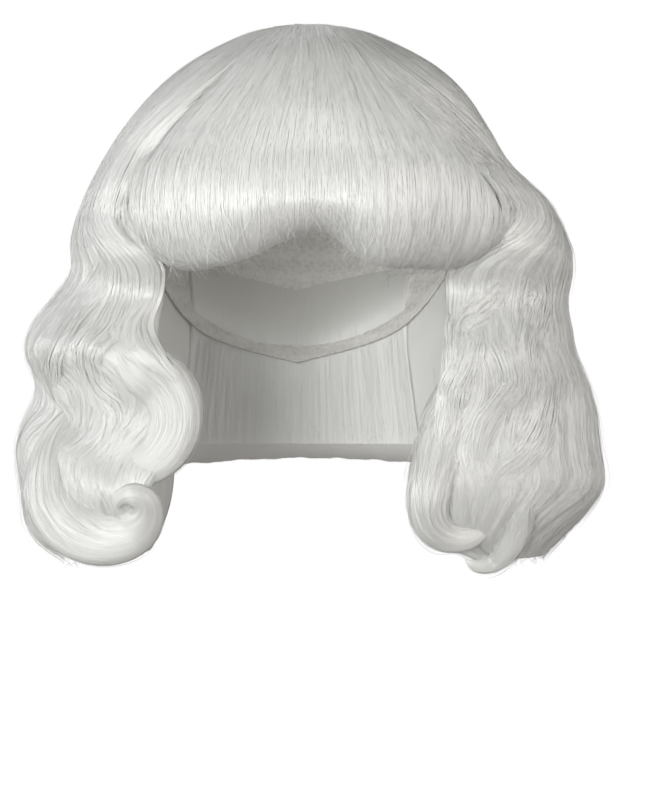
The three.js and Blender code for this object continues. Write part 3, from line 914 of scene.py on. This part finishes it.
def back_inside(across, along):
    """Inside of the back hair."""
    place, rolled = back_shares(along)
    turn = math.pi - across * BACK_HALF
    point = dome(turn, place)
    hollow = points(face_edge("hollow", place) * np.sin(turn), -BACK_HOLLOW * np.cos(turn), point[..., 2])
    inside = inside_under(point, hollow, 1 - np.abs(across) / 2)
    inside[..., 2] -= BACK_ROLL_TUCK * rolled
    return inside


CROWN = Sheet(crown_place, -1).raised(crown_relief)
FRINGE = Sheet(fringe_place, -1).raised(fringe_relief)
SIDES = {
    way: Sheet(lambda across, along, way=way: side_place(way, across, along), -way).raised(side_relief(way))
    for way in (-1, 1)
}
BACK = Sheet(back_place, 1).raised(back_relief)
BACK_INSIDE = Sheet(back_inside, -1)


def spot_on_side(way, x, z):
    """Shares across and along a side of the spot that shows at x and z from the front."""
    along = (outline_place(z) - PANEL_START) / (LAST_ROW - PANEL_START)
    across = np.linspace(0, 0.5, SPOT_STEPS)
    reach = way * side_place(way, across, np.full_like(across, along))[:, 0]
    return np.interp(way * x, reach, across), along


def smooth_path(knots, samples):
    """Even points on a smooth curve through a few knots."""
    knots = np.asarray(knots, float)
    place = np.linspace(0, len(knots) - 1, PATH_STEPS)
    curve = np.stack([column({"value": axis}, "value", place) for axis in knots.T], axis=-1)
    length = np.concatenate([[0], np.cumsum(np.linalg.norm(np.diff(curve, axis=0), axis=-1))])
    even = np.linspace(0, length[-1], samples)
    return np.stack([np.interp(even, length, axis) for axis in curve.T], axis=-1)


def evened(path, reach):
    """Path with its bends spread over a number of points to each side."""
    window = np.hanning(2 * reach + 3)[1:-1]
    before = 2 * path[0] - path[reach:0:-1]
    after = 2 * path[-1] - path[-2:-reach - 2:-1]
    longer = np.concatenate([before, path, after])
    return np.stack([np.convolve(axis, window / window.sum(), "valid") for axis in longer.T], axis=-1)


def pick(rows, share):
    """Values between the rows of an array, by the share of the way down it."""
    place = np.clip(share, 0, 1) * (len(rows) - 1)
    row = np.minimum(place.astype(int), len(rows) - 2)
    return lerp(rows[row], rows[row + 1], (place - row)[..., None])


def curl_sheet(row):
    """Surface of a curl: oval sections round its centre line; across is the share of a turn from behind."""
    line = row["line"]

    def half(name, along):
        root, fullest, tip = row[name]
        grown = lerp(root, fullest, ease(along, 0, CURL_FULLEST))
        return np.where(along < CURL_FULLEST, grown, lerp(fullest, tip, ease(along, CURL_FULLEST, 1)))

    deep_there = half("deep", np.linspace(0, 1, len(line["x"])))
    knots = []
    for x, z, proud, deep in zip(*line.values(), deep_there):
        surface = side_place(row["way"], *(np.array([share]) for share in spot_on_side(row["way"], x, z)))[0]
        knots.append((x, surface[1] + deep - proud, z))
    centre = evened(smooth_path(knots, CURL_FINENESS), row["evening"])
    along_line = unit(np.gradient(centre, axis=0))
    facing = square_to(along_line, np.array([0.0, -1.0, 0.0]))
    sideways = np.cross(along_line, facing)

    def place(across, along):
        angle = 2 * math.pi * across
        full = np.sqrt(np.maximum(1 - np.abs(2 * np.clip(along, 0, 1) - 1) ** CURL_BLUNT, 0))
        wide = half("wide", along) * full
        deep = half("deep", along) * full
        out = pick(sideways, along) * (wide * np.sin(angle))[..., None]
        return pick(centre, along) + out - pick(facing, along) * (deep * np.cos(angle))[..., None]

    def relief(across, along, point):
        return ripples("curl", across, along) * ease(np.minimum(along, 1 - along), *CURL_RIPPLES_COME)

    return Sheet(place, -1).raised(relief)


# Strands

def rng_for(panel, number=0):
    """Random numbers of one piece, the same each run."""
    return np.random.default_rng(PANELS[panel]["seed"] + number)


def wander(rng, count, share, cycles):
    """Smooth random wandering along each strand, within about -1 and 1."""
    phase = rng.uniform(0, 2 * math.pi, (2, count, 1))
    pace = cycles * rng.uniform(*WANDER_PACES, (2, count, 1))
    slow = np.sin(2 * math.pi * pace[0] * share + phase[0])
    quick = np.sin(2 * math.pi * QUICK_PACE * pace[1] * share + phase[1])
    return (slow + QUICK_SHARE * quick) / WANDER_REACH


def comb(rng, sheet, count, samples, lanes, start, end, clumps, sway=None, height=STRAND_HEIGHT):
    """Strands combed along a sheet and gathered in clumps: their paths, normals and tones."""
    low, high = lanes
    each = (count, 1)
    root = rng.uniform(low, high, each)
    spots = np.sort(rng.uniform(low, high, clumps))
    nearest = np.searchsorted((spots[1:] + spots[:-1]) / 2, root)
    share = np.linspace(0, 1, samples)[None, :]
    along = lerp(rng.uniform(*start, each), rng.uniform(*end, each), share)
    lane = root + (spots[nearest] - root) * (CLUMP_PULL * ease(share, *CLUMP_PULLS))
    lane = lane + wander(rng, count, share, LANE_CYCLES) * (high - low) * LANE_WANDER
    phase = rng.uniform(-CLUMP_SWAY, CLUMP_SWAY, clumps)[nearest]
    over = rng.uniform(*height, each) + CLUMP_LIFT * rng.uniform(-1, 1, clumps)[nearest]
    if sway is not None:
        lane = lane + sway(lane, along, phase)
    paths, normals = sheet.at(lane, along, over + FUZZ * wander(rng, count, share, FUZZ_CYCLES))
    tones = CLUMP_TONE * rng.uniform(0, 1, clumps)[nearest] + (1 - CLUMP_TONE) * rng.uniform(0, 1, each)
    return paths, normals, tones[:, 0]


def lock(rng, sheet, spots, count, samples, wide, rise):
    """Strands of a lock that lies on a sheet along spots, rising from it and sinking back at its ends."""
    each = (count, 1)
    shares = smooth_path(spots, LOCK_STEPS)
    centre, normal = sheet.at(shares[:, 0], shares[:, 1])
    sideways = np.cross(unit(np.gradient(centre, axis=0)), normal)
    off = rng.uniform(-1, 1, each)
    share = lerp(rng.uniform(*LOCK_STARTS, each), rng.uniform(*LOCK_ENDS, each), np.linspace(0, 1, samples))
    spread = wide * np.interp(share, *LOCK_WIDTHS)
    full = rise * np.interp(share, *LOCK_RISES)
    aside = (off + LOCK_WANDER * wander(rng, count, share, LOCK_CYCLES)) * spread
    layer = 1 - LOCK_LAYERS * rng.uniform(0, 1, each)
    over = full * (1 - off**2) * layer + LOCK_FUZZ * wander(rng, count, share, FUZZ_CYCLES)
    across_there, normal_there = pick(sideways, share), pick(normal, share)
    paths = pick(centre, share) + across_there * aside[..., None] + normal_there * over[..., None]
    lean = 2 * off * full / spread
    normals = unit(normal_there + across_there * lean[..., None])
    return paths, normals, rng.uniform(*LOCK_TONES, count)


def wisps(rng, sheet, count, samples, lanes, start, length, lift, stray, drop=0.0):
    """Loose strands that leave a sheet towards their ends: their paths, normals and tones."""
    each = (count, 1)
    share = np.linspace(0, 1, samples)[None, :]
    along = rng.uniform(*start, each) + rng.uniform(*length, each) * share
    lane = rng.uniform(*lanes, each) + stray * rng.normal(0, 1, each) * share
    lane = lane + LOOSE_WANDER * stray * wander(rng, count, share, LOOSE_CYCLES)
    away = lift * rng.uniform(*LOOSE_LIFTS, each) * share**2
    paths, normals = sheet.at(lane, np.minimum(along, LOOSE_END), away)
    paths[..., 2] -= drop * rng.uniform(0, 1, each) * share**2
    return paths, normals, rng.uniform(*LOOSE_TONES, count)


def joined(*groups):
    """Several groups of strands with the same number of samples as one."""
    return tuple(np.concatenate(arrays) for arrays in zip(*groups))


def strands_mesh(name, strands, radius, sides):
    """Mesh of strands along paths, shaded softly like the mass that they lie on."""
    paths, normals, tones = strands
    count, samples, _ = paths.shape
    along = unit(np.gradient(paths, axis=1))
    lie = square_to(along, normals)
    sideways = np.cross(lie, along)[:, :, None, :]
    lie = lie[:, :, None, :]
    share = np.linspace(0, 1, samples)
    taper = lerp(TIP_SHARE, 1, np.clip(np.minimum(share * ROOT_TAPER, (1 - share) * TIP_TAPER), 0, 1))
    angle = (2 * math.pi * np.arange(sides) / sides)[:, None]
    ring = sideways * np.cos(angle) + lie * np.sin(angle)
    corners = (paths[:, :, None, :] + ring * (radius * taper)[None, :, None, None]).reshape(-1, 3)
    if sides == FLAT:
        roll = (STRAND_ROLL * (2 * tones - 1))[:, None, None, None]
        ring = np.repeat(lie * np.cos(roll) - sideways * np.sin(roll), sides, axis=2)
    soft = unit(lerp(ring, lie, SOFTNESS)).reshape(-1, 3)
    row = np.arange(count)[:, None, None] * samples * sides + np.arange(samples - 1)[:, None] * sides
    here = np.arange(1 if sides == FLAT else sides)
    a = row + here
    b = row + (here + 1) % sides
    quads = np.stack([a, b, b + sides, a + sides], axis=-1).reshape(-1, 4)
    mesh = bpy.data.meshes.new(name)
    mesh.from_pydata(corners, [], quads, shade_flat=False)
    tone = mesh.attributes.new("tone", "FLOAT", "POINT")
    tone.data.foreach_set("value", np.repeat(tones, samples * sides).astype(np.float32))
    chart = mesh.uv_layers.new(name="OFBake")
    loops = quads.ravel()
    strand = (loops // (samples * sides) + CHART_MARGIN + CHART_STEP * (loops % sides)) / count
    level = ((loops // sides) % samples + CHART_MIDDLE) / samples
    chart.data.foreach_set("uv", np.stack([strand, level], axis=-1).astype(np.float32).ravel())
    mesh.normals_split_custom_set_from_vertices(soft.tolist())
    return mesh


def add_strands(name, strands, sides=FLAT):
    """Adds strands that ride on the wig."""
    radius = bpy.context.scene.wig_hair.strand_radius * (1 if sides == FLAT else LOOSE_SHARE)
    piece = bpy.data.objects.new(name, strands_mesh(name, strands, radius, sides))
    bpy.context.scene.collection.objects.link(piece)
    piece.data.materials.append(material_named("white_fibre", strand_material))
    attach(piece, "root")


# Materials

def new_material(name, roughness):
    """Material with a shader ready for its nodes, and the nodes and links."""
    material = bpy.data.materials.new(name)
    material.use_nodes = True
    nodes, links = material.node_tree.nodes, material.node_tree.links
    shader = nodes["Principled BSDF"]
    shader.inputs["Roughness"].default_value = roughness
    return material, shader, nodes, links


def material_named(name, make):
    """Material of that name, made the first time."""
    return bpy.data.materials.get(name) or make()


def ramp_between(nodes, dark, light):
    """Colour ramp from a dark to a light colour."""
    ramp = nodes.new("ShaderNodeValToRGB")
    ramp.color_ramp.elements[0].color = (*dark, 1)
    ramp.color_ramp.elements[1].color = (*light, 1)
    return ramp


def fibre_tone():
    """Group that gives a tone, from 0 to 1, the fibre's colour."""
    group = bpy.data.node_groups.get("fibre_tone")
    if group:
        return group
    settings = bpy.context.scene.wig_hair
    group = bpy.data.node_groups.new("fibre_tone", "ShaderNodeTree")
    group.interface.new_socket("Tone", in_out="INPUT", socket_type="NodeSocketFloat")
    group.interface.new_socket("Colour", in_out="OUTPUT", socket_type="NodeSocketColor")
    entry = group.nodes.new("NodeGroupInput")
    result = group.nodes.new("NodeGroupOutput")
    ramp = ramp_between(group.nodes, settings.shade_colour, settings.light_colour)
    group.links.new(entry.outputs["Tone"], ramp.inputs["Fac"])
    group.links.new(ramp.outputs["Color"], result.inputs["Colour"])
    return group


def add_fibre_tone(nodes, links, tone, shader):
    """Colours a shader by a tone."""
    fibre = nodes.new("ShaderNodeGroup")
    fibre.node_tree = fibre_tone()
    links.new(tone, fibre.inputs["Tone"])
    links.new(fibre.outputs["Colour"], shader.inputs["Base Color"])


def add_sheen(nodes, links, shader, chart):
    """Gives a shader the gloss of combed fibre, which spreads across the strands of its chart."""
    shader.inputs["IOR"].default_value = FIBRE_IOR
    shader.inputs["Specular IOR Level"].default_value = FIBRE_SPECULAR
    shader.inputs["Anisotropic"].default_value = FIBRE_ANISOTROPY
    across = nodes.new("ShaderNodeTangent")
    across.direction_type = "UV_MAP"
    across.uv_map = chart
    links.new(across.outputs["Tangent"], shader.inputs["Tangent"])


def strand_material():
    """White fibre whose tone differs from strand to strand."""
    settings = bpy.context.scene.wig_hair
    material, shader, nodes, links = new_material("white_fibre", settings.roughness)
    tone = nodes.new("ShaderNodeAttribute")
    tone.attribute_name = "tone"
    add_fibre_tone(nodes, links, tone.outputs["Fac"], shader)
    add_sheen(nodes, links, shader, "OFBake")
    return material


def mass_material():
    """Combed fibre under the strands: fine streaks along the hair in colour and relief."""
    settings = bpy.context.scene.wig_hair
    material, shader, nodes, links = new_material("combed_fibre", settings.roughness)
    chart = nodes.new("ShaderNodeUVMap")
    chart.uv_map = "UVMap"
    stretch = nodes.new("ShaderNodeMapping")
    stretch.inputs["Scale"].default_value = (1 / STREAK_WIDTH, 1 / STREAK_LENGTH, 1)
    noise = nodes.new("ShaderNodeTexNoise")
    noise.inputs["Scale"].default_value = 1.0
    noise.inputs["Detail"].default_value = STREAK_DETAIL
    bump = nodes.new("ShaderNodeBump")
    bump.inputs["Strength"].default_value = STREAK_STRENGTH
    bump.inputs["Distance"].default_value = STREAK_RELIEF
    links.new(chart.outputs["UV"], stretch.inputs["Vector"])
    links.new(stretch.outputs["Vector"], noise.inputs["Vector"])
    add_fibre_tone(nodes, links, noise.outputs["Fac"], shader)
    links.new(noise.outputs["Fac"], bump.inputs["Height"])
    links.new(bump.outputs["Normal"], shader.inputs["Normal"])
    add_sheen(nodes, links, shader, "UVMap")
    return material


def cap_material():
    """Open net with rows of stitching."""
    settings = bpy.context.scene.wig_cap
    material, shader, nodes, links = new_material("net_cap", CAP_ROUGHNESS)
    where = nodes.new("ShaderNodeTexCoord")
    rows = nodes.new("ShaderNodeTexWave")
    rows.bands_direction = "Z"
    rows.inputs["Scale"].default_value = CAP_ROWS
    net = nodes.new("ShaderNodeTexVoronoi")
    net.inputs["Scale"].default_value = CAP_NET
    ramp = ramp_between(nodes, settings.shade_colour, settings.net_colour)
    mix = nodes.new("ShaderNodeMath")
    mix.operation = "MULTIPLY_ADD"
    mix.inputs[1].default_value = CAP_ROWS_SHARE
    bump = nodes.new("ShaderNodeBump")
    bump.inputs["Distance"].default_value = CAP_RELIEF
    links.new(where.outputs["Object"], rows.inputs["Vector"])
    links.new(where.outputs["Object"], net.inputs["Vector"])
    links.new(rows.outputs["Fac"], mix.inputs[0])
    links.new(net.outputs["Distance"], mix.inputs[2])
    links.new(mix.outputs["Value"], ramp.inputs["Fac"])
    links.new(mix.outputs["Value"], bump.inputs["Height"])
    links.new(ramp.outputs["Color"], shader.inputs["Base Color"])
    links.new(bump.outputs["Normal"], shader.inputs["Normal"])
    return material


# Modelling

def grid_body(name, outer, inner, across, along, steps, chart=None):
    """Closed body shaped from a grid: between two sheets, or inside one that closes on itself.

    The grid is a unit wide about its middle, and the inner sheet starts as a copy of it a unit below.
    """
    bpy.ops.object.select_all(action="DESELECT")
    bpy.ops.mesh.primitive_grid_add(x_subdivisions=steps[0], y_subdivisions=steps[1], size=1)
    piece = bpy.context.object
    piece.name = name
    piece.data.name = name
    if inner is not None:
        bpy.ops.object.mode_set(mode="EDIT")
        bpy.ops.mesh.select_all(action="SELECT")
        bpy.ops.mesh.extrude_region_move(TRANSFORM_OT_translate={"value": (0, 0, -1)})
        bpy.ops.object.mode_set(mode="OBJECT")
    mesh = piece.data
    place = np.empty(len(mesh.vertices) * 3)
    mesh.vertices.foreach_get("co", place)
    place = place.reshape(-1, 3)
    over = lerp(across[0], across[1], place[:, 0] + 0.5)
    down = lerp(along[0], along[1], 0.5 - place[:, 1])
    shaped = outer(over, down)
    if inner is not None:
        shaped = np.where(place[:, 2:] < -0.5, inner(over, down), shaped)
    mesh.vertices.foreach_set("co", shaped.ravel())
    if chart is not None:
        corner = np.empty(len(mesh.loops), np.int32)
        mesh.loops.foreach_get("vertex_index", corner)
        spread = np.stack(chart(over, down), axis=-1)[corner]
        mesh.uv_layers["UVMap"].data.foreach_set("uv", spread.astype(np.float32).ravel())
    bpy.ops.object.mode_set(mode="EDIT")
    bpy.ops.mesh.select_all(action="SELECT")
    bpy.ops.mesh.remove_doubles(threshold=WELD)
    bpy.ops.mesh.normals_make_consistent(inside=False)
    bpy.ops.object.mode_set(mode="OBJECT")
    bpy.ops.object.shade_smooth()
    return piece


def straight_lane(across, along):
    """Lane of hair that runs straight along its panel."""
    return across


def hair_mass(name, node, panel, outer, inner, lane=straight_lane):
    """Mass of combed hair in the place of a node, charted in metres across its lanes and along them."""
    size = PANELS[panel]

    def chart(across, along):
        return lane(across, along) * size["width"], along * size["length"]

    piece = grid_body(name, outer, inner, chart=chart, **GRIDS[panel])
    piece.data.materials.append(material_named("combed_fibre", mass_material))
    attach(piece, "root")
    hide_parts(node)


def add_side(way, name, depth):
    """Mass, strands, locks and loose hair of one side."""
    sheet = SIDES[way]
    rng = rng_for("side", way)

    def inside(across, along):
        return side_inside(way, across, along)

    def sway(lane, along, phase=0.0):
        return side_sway(way, lane, along, phase)

    def lane_there(across, along):
        return across - sway(across, along)

    outer = sheet.sunk(side_mass_depth(depth))
    hair_mass(f"{name}_side_mass", f"{name}_side_hair", "side", outer, inside, lane_there)
    add_strands(f"{name}_side_strands", comb(rng, sheet, sway=sway, **COMBED["side"]))
    locks = [
        lock(rng, sheet, [spot_on_side(way, *spot) for spot in spots], wide=wide, **SIDE_LOCK)
        for wide, spots in SIDE_LOCKS[way]
    ]
    add_strands(f"{name}_side_inside_strands", comb(rng, Sheet(inside, way), **COMBED["side_inside"]))
    loose = [wisps(rng, sheet, **LOOSE[kind]) for kind in ("side", "side_ends")]
    add_strands(f"{name}_side_locks", joined(*locks))
    add_strands(f"{name}_side_wisps", joined(*loose), sides=ROUND)


# Stage

def aim_at(thing, target):
    """Turns a light or camera towards a point."""
    way = Vector(target) - thing.location
    thing.rotation_euler = way.to_track_quat("-Z", "Y").to_euler()


def add_floor(height):
    """Pale round floor that glows for the camera alone."""
    bpy.ops.object.select_all(action="DESELECT")
    bpy.ops.mesh.primitive_circle_add(
        vertices=FLOOR_CORNERS, radius=FLOOR_RADIUS, fill_type="NGON", location=(0, 0, height))
    floor = bpy.context.object
    floor.name = "floor"
    material, shader, nodes, links = new_material("pale_floor", FLOOR_ROUGHNESS)
    shader.inputs["Base Color"].default_value = FLOOR_COLOUR
    shader.inputs["Emission Color"].default_value = WHITE
    seen = nodes.new("ShaderNodeLightPath")
    glow = nodes.new("ShaderNodeMapRange")
    glow.inputs["To Max"].default_value = FLOOR_GLOW
    links.new(seen.outputs["Is Camera Ray"], glow.inputs["Value"])
    links.new(glow.outputs["Result"], shader.inputs["Emission Strength"])
    floor.data.materials.append(material)


def add_room(scene):
    """Room whose walls light the wig, with a white backdrop for the camera alone."""
    world = bpy.data.worlds.new("studio")
    world.use_nodes = True
    scene.world = world
    nodes, links = world.node_tree.nodes, world.node_tree.links
    backdrop = nodes["Background"]
    backdrop.inputs["Color"].default_value = WHITE
    room = nodes.new("ShaderNodeBackground")
    path = nodes.new("ShaderNodeLightPath")
    where = nodes.new("ShaderNodeTexCoord")
    axes = nodes.new("ShaderNodeSeparateXYZ")
    height = nodes.new("ShaderNodeMapRange")
    height.inputs["From Min"].default_value = -1.0
    walls = ramp_between(nodes, ROOM_BELOW, ROOM_ABOVE)
    walls.color_ramp.elements.new(0.5).color = ROOM_ROUND
    either = nodes.new("ShaderNodeMixShader")
    links.new(where.outputs["Generated"], axes.inputs["Vector"])
    links.new(axes.outputs["Z"], height.inputs["Value"])
    links.new(height.outputs["Result"], walls.inputs["Fac"])
    links.new(walls.outputs["Color"], room.inputs["Color"])
    links.new(path.outputs["Is Camera Ray"], either.inputs["Fac"])
    links.new(room.outputs["Background"], either.inputs[1])
    links.new(backdrop.outputs["Background"], either.inputs[2])
    links.new(either.outputs["Shader"], nodes["World Output"].inputs["Surface"])


def add_lights(scene):
    """Soft lights round the wig."""
    for name, row in LIGHTS.items():
        light = bpy.data.lights.new(name, "AREA")
        light.size = row["size"]
        light.energy = row["power"]
        light.color = row["colour"]
        lamp = bpy.data.objects.new(name, light)
        lamp.location = row["place"]
        scene.collection.objects.link(lamp)
        aim_at(lamp, LIGHTS_TARGET)


def add_camera(scene, distance, azimuth):
    """Camera level with the spot that it points at."""
    camera_data = bpy.data.cameras.new("camera")
    camera_data.lens = CAMERA_LENS
    camera_data.sensor_width = CAMERA_SENSOR
    camera = bpy.data.objects.new("camera", camera_data)
    off = np.array([math.sin(azimuth), -math.cos(azimuth), 0])
    camera.location = np.array(CAMERA_TARGET) + distance * off
    scene.collection.objects.link(camera)
    aim_at(camera, CAMERA_TARGET)
    scene.camera = camera


# Settings and operators

class WigHairSettings(bpy.types.PropertyGroup):
    """Sizes and colours of the hair."""

    light_colour: bpy.props.FloatVectorProperty(
        name="Light Fibre", description="Colour of the lightest strands",
        subtype="COLOR", default=(0.88, 0.89, 0.87))
    shade_colour: bpy.props.FloatVectorProperty(
        name="Shaded Fibre", description="Colour of the darkest strands",
        subtype="COLOR", default=(0.77, 0.78, 0.76))
    roughness: bpy.props.FloatProperty(
        name="Roughness", description="Roughness of the fibre",
        subtype="FACTOR", min=0, max=1, default=0.53)
    strand_radius: bpy.props.FloatProperty(
        name="Strand Radius", description="Half the width of a strand",
        unit="LENGTH", default=0.00013)
    mass_depth: bpy.props.FloatProperty(
        name="Mass Depth", description="Depth of the combed mass under the strands",
        unit="LENGTH", default=0.0003)


class WigCapSettings(bpy.types.PropertyGroup):
    """Colours of the cap."""

    net_colour: bpy.props.FloatVectorProperty(
        name="Net", description="Colour of the net",
        subtype="COLOR", default=(0.86, 0.85, 0.82))
    shade_colour: bpy.props.FloatVectorProperty(
        name="Net Shade", description="Colour between the threads",
        subtype="COLOR", default=(0.74, 0.73, 0.70))


class WigStageSettings(bpy.types.PropertyGroup):
    """Floor and camera."""

    floor_height: bpy.props.FloatProperty(
        name="Floor Height", description="Height of the floor",
        unit="LENGTH", default=-0.385)
    camera_distance: bpy.props.FloatProperty(
        name="Camera Distance", description="From the camera to the spot that it points at",
        unit="LENGTH", default=1.7)
    camera_azimuth: bpy.props.FloatProperty(
        name="Camera Azimuth", description="Angle of the camera round the wig",
        subtype="ANGLE", default=math.radians(-4))


class WIG_OT_cap(bpy.types.Operator):
    """Net cap that all the hair is sewn to"""

    bl_idname = "wig.cap"
    bl_label = "Cap"

    def execute(self, context):
        piece = grid_body("wig_cap_net", cap_layer(CAP_WALL), cap_layer(0), **GRIDS["cap"])
        piece.data.materials.append(material_named("net_cap", cap_material))
        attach(piece, "root")
        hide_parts("wig_cap")
        return {"FINISHED"}


class WIG_OT_crown(bpy.types.Operator):
    """Hair on the top of the dome"""

    bl_idname = "wig.crown"
    bl_label = "Crown"

    def execute(self, context):
        depth = context.scene.wig_hair.mass_depth

        def deep(across, along):
            return depth + CROWN_SINK * ease(along, *CROWN_RIM)

        def seat(across, along):
            return seat_under(crown_place(across, along))

        hair_mass("crown_hair_mass", "crown_hair", "crown", CROWN.sunk(deep), seat)
        add_strands("crown_strands", comb(rng_for("crown"), CROWN, **COMBED["crown"]))
        return {"FINISHED"}


class WIG_OT_fringe(bpy.types.Operator):
    """Fringe combed forward and rolled under at the brow"""

    bl_idname = "wig.fringe"
    bl_label = "Fringe"

    def execute(self, context):
        depth = context.scene.wig_hair.mass_depth
        rng = rng_for("fringe")
        hair_mass("fringe_mass", "fringe", "fringe", FRINGE.sunk(depth), fringe_inside)
        add_strands("fringe_strands", comb(rng, FRINGE, **COMBED["fringe"]))
        end_sweep = lock(rng, FRINGE, **BROW_LOCKS["end_sweep"])
        loose = wisps(rng, FRINGE, **LOOSE["brow"])
        veil = lock(rng, FRINGE, **BROW_LOCKS["veil"])
        add_strands("brow_locks", joined(end_sweep, veil))
        add_strands("brow_wisps", loose, sides=ROUND)
        return {"FINISHED"}


class WIG_OT_sides(bpy.types.Operator):
    """Waved hair over both ears, down to the shoulders"""

    bl_idname = "wig.sides"
    bl_label = "Sides"

    def execute(self, context):
        for way, name in ((-1, "right"), (1, "left")):
            add_side(way, name, context.scene.wig_hair.mass_depth)
        return {"FINISHED"}


class WIG_OT_back(bpy.types.Operator):
    """Hair behind the head, rolled under at its end"""

    bl_idname = "wig.back"
    bl_label = "Back"

    def execute(self, context):
        depth = context.scene.wig_hair.mass_depth
        rng = rng_for("back")
        hair_mass("back_mass", "back_hair", "back", BACK.sunk(depth), back_inside)
        add_strands("back_strands", comb(rng, BACK, **COMBED["back"]))
        add_strands("back_inside_strands", comb(rng, BACK_INSIDE, **COMBED["back_inside"]))
        return {"FINISHED"}


class WIG_OT_curls(bpy.types.Operator):
    """Curls beside the cheeks and at the ends of the sides"""

    bl_idname = "wig.curls"
    bl_label = "Curls"

    def execute(self, context):
        depth = context.scene.wig_hair.mass_depth
        for number, (name, row) in enumerate(CURLS.items()):
            rng = rng_for("curl", number)
            sheet = curl_sheet(row)
            hair_mass(f"{name}_mass", name, "curl", sheet.sunk(depth), None)
            add_strands(f"{name}_strands", comb(rng, sheet, row["count"], **COMBED["curl"]))
            add_strands(f"{name}_wisps", wisps(rng, sheet, **LOOSE["curl"], **row["loose"]), sides=ROUND)
        return {"FINISHED"}


class WIG_OT_stage(bpy.types.Operator):
    """Pale floor, soft lights and the camera"""

    bl_idname = "wig.stage"
    bl_label = "Stage"

    def execute(self, context):
        settings = context.scene.wig_stage
        add_floor(settings.floor_height)
        add_room(context.scene)
        add_lights(context.scene)
        add_camera(context.scene, settings.camera_distance, settings.camera_azimuth)
        context.scene.view_settings.view_transform = "Standard"
        return {"FINISHED"}


OPERATORS = (
    WIG_OT_cap, WIG_OT_crown, WIG_OT_fringe, WIG_OT_sides, WIG_OT_back, WIG_OT_curls, WIG_OT_stage,
)


class WIG_PT_panel(bpy.types.Panel):
    """Lists the wig's pieces and their settings"""

    bl_idname = "WIG_PT_panel"
    bl_label = "White Waved Wig"
    bl_space_type = "VIEW_3D"
    bl_region_type = "UI"
    bl_category = "Wig"

    def draw(self, context):
        for group in SETTINGS:
            values = getattr(context.scene, group)
            for name in values.bl_rna.properties.keys():
                if name not in {"rna_type", "name"}:
                    self.layout.prop(values, name)
        for operator in OPERATORS:
            self.layout.operator(operator.bl_idname)


SETTINGS = {"wig_hair": WigHairSettings, "wig_cap": WigCapSettings, "wig_stage": WigStageSettings}
CLASSES = (*SETTINGS.values(), *OPERATORS, WIG_PT_panel)


def register():
    """Adds the classes and the scene's settings."""
    for item in CLASSES:
        bpy.utils.register_class(item)
    for name, group in SETTINGS.items():
        setattr(bpy.types.Scene, name, bpy.props.PointerProperty(type=group))


def unregister():
    """Removes them."""
    for name in SETTINGS:
        delattr(bpy.types.Scene, name)
    for item in reversed(CLASSES):
        bpy.utils.unregister_class(item)


def main():
    """Makes the wig and its stage."""
    register()
    bpy.ops.wig.cap()
    bpy.ops.wig.crown()
    bpy.ops.wig.fringe()
    bpy.ops.wig.sides()
    bpy.ops.wig.back()
    bpy.ops.wig.curls()
    bpy.ops.wig.stage()


if __name__ == "__main__":
    main()
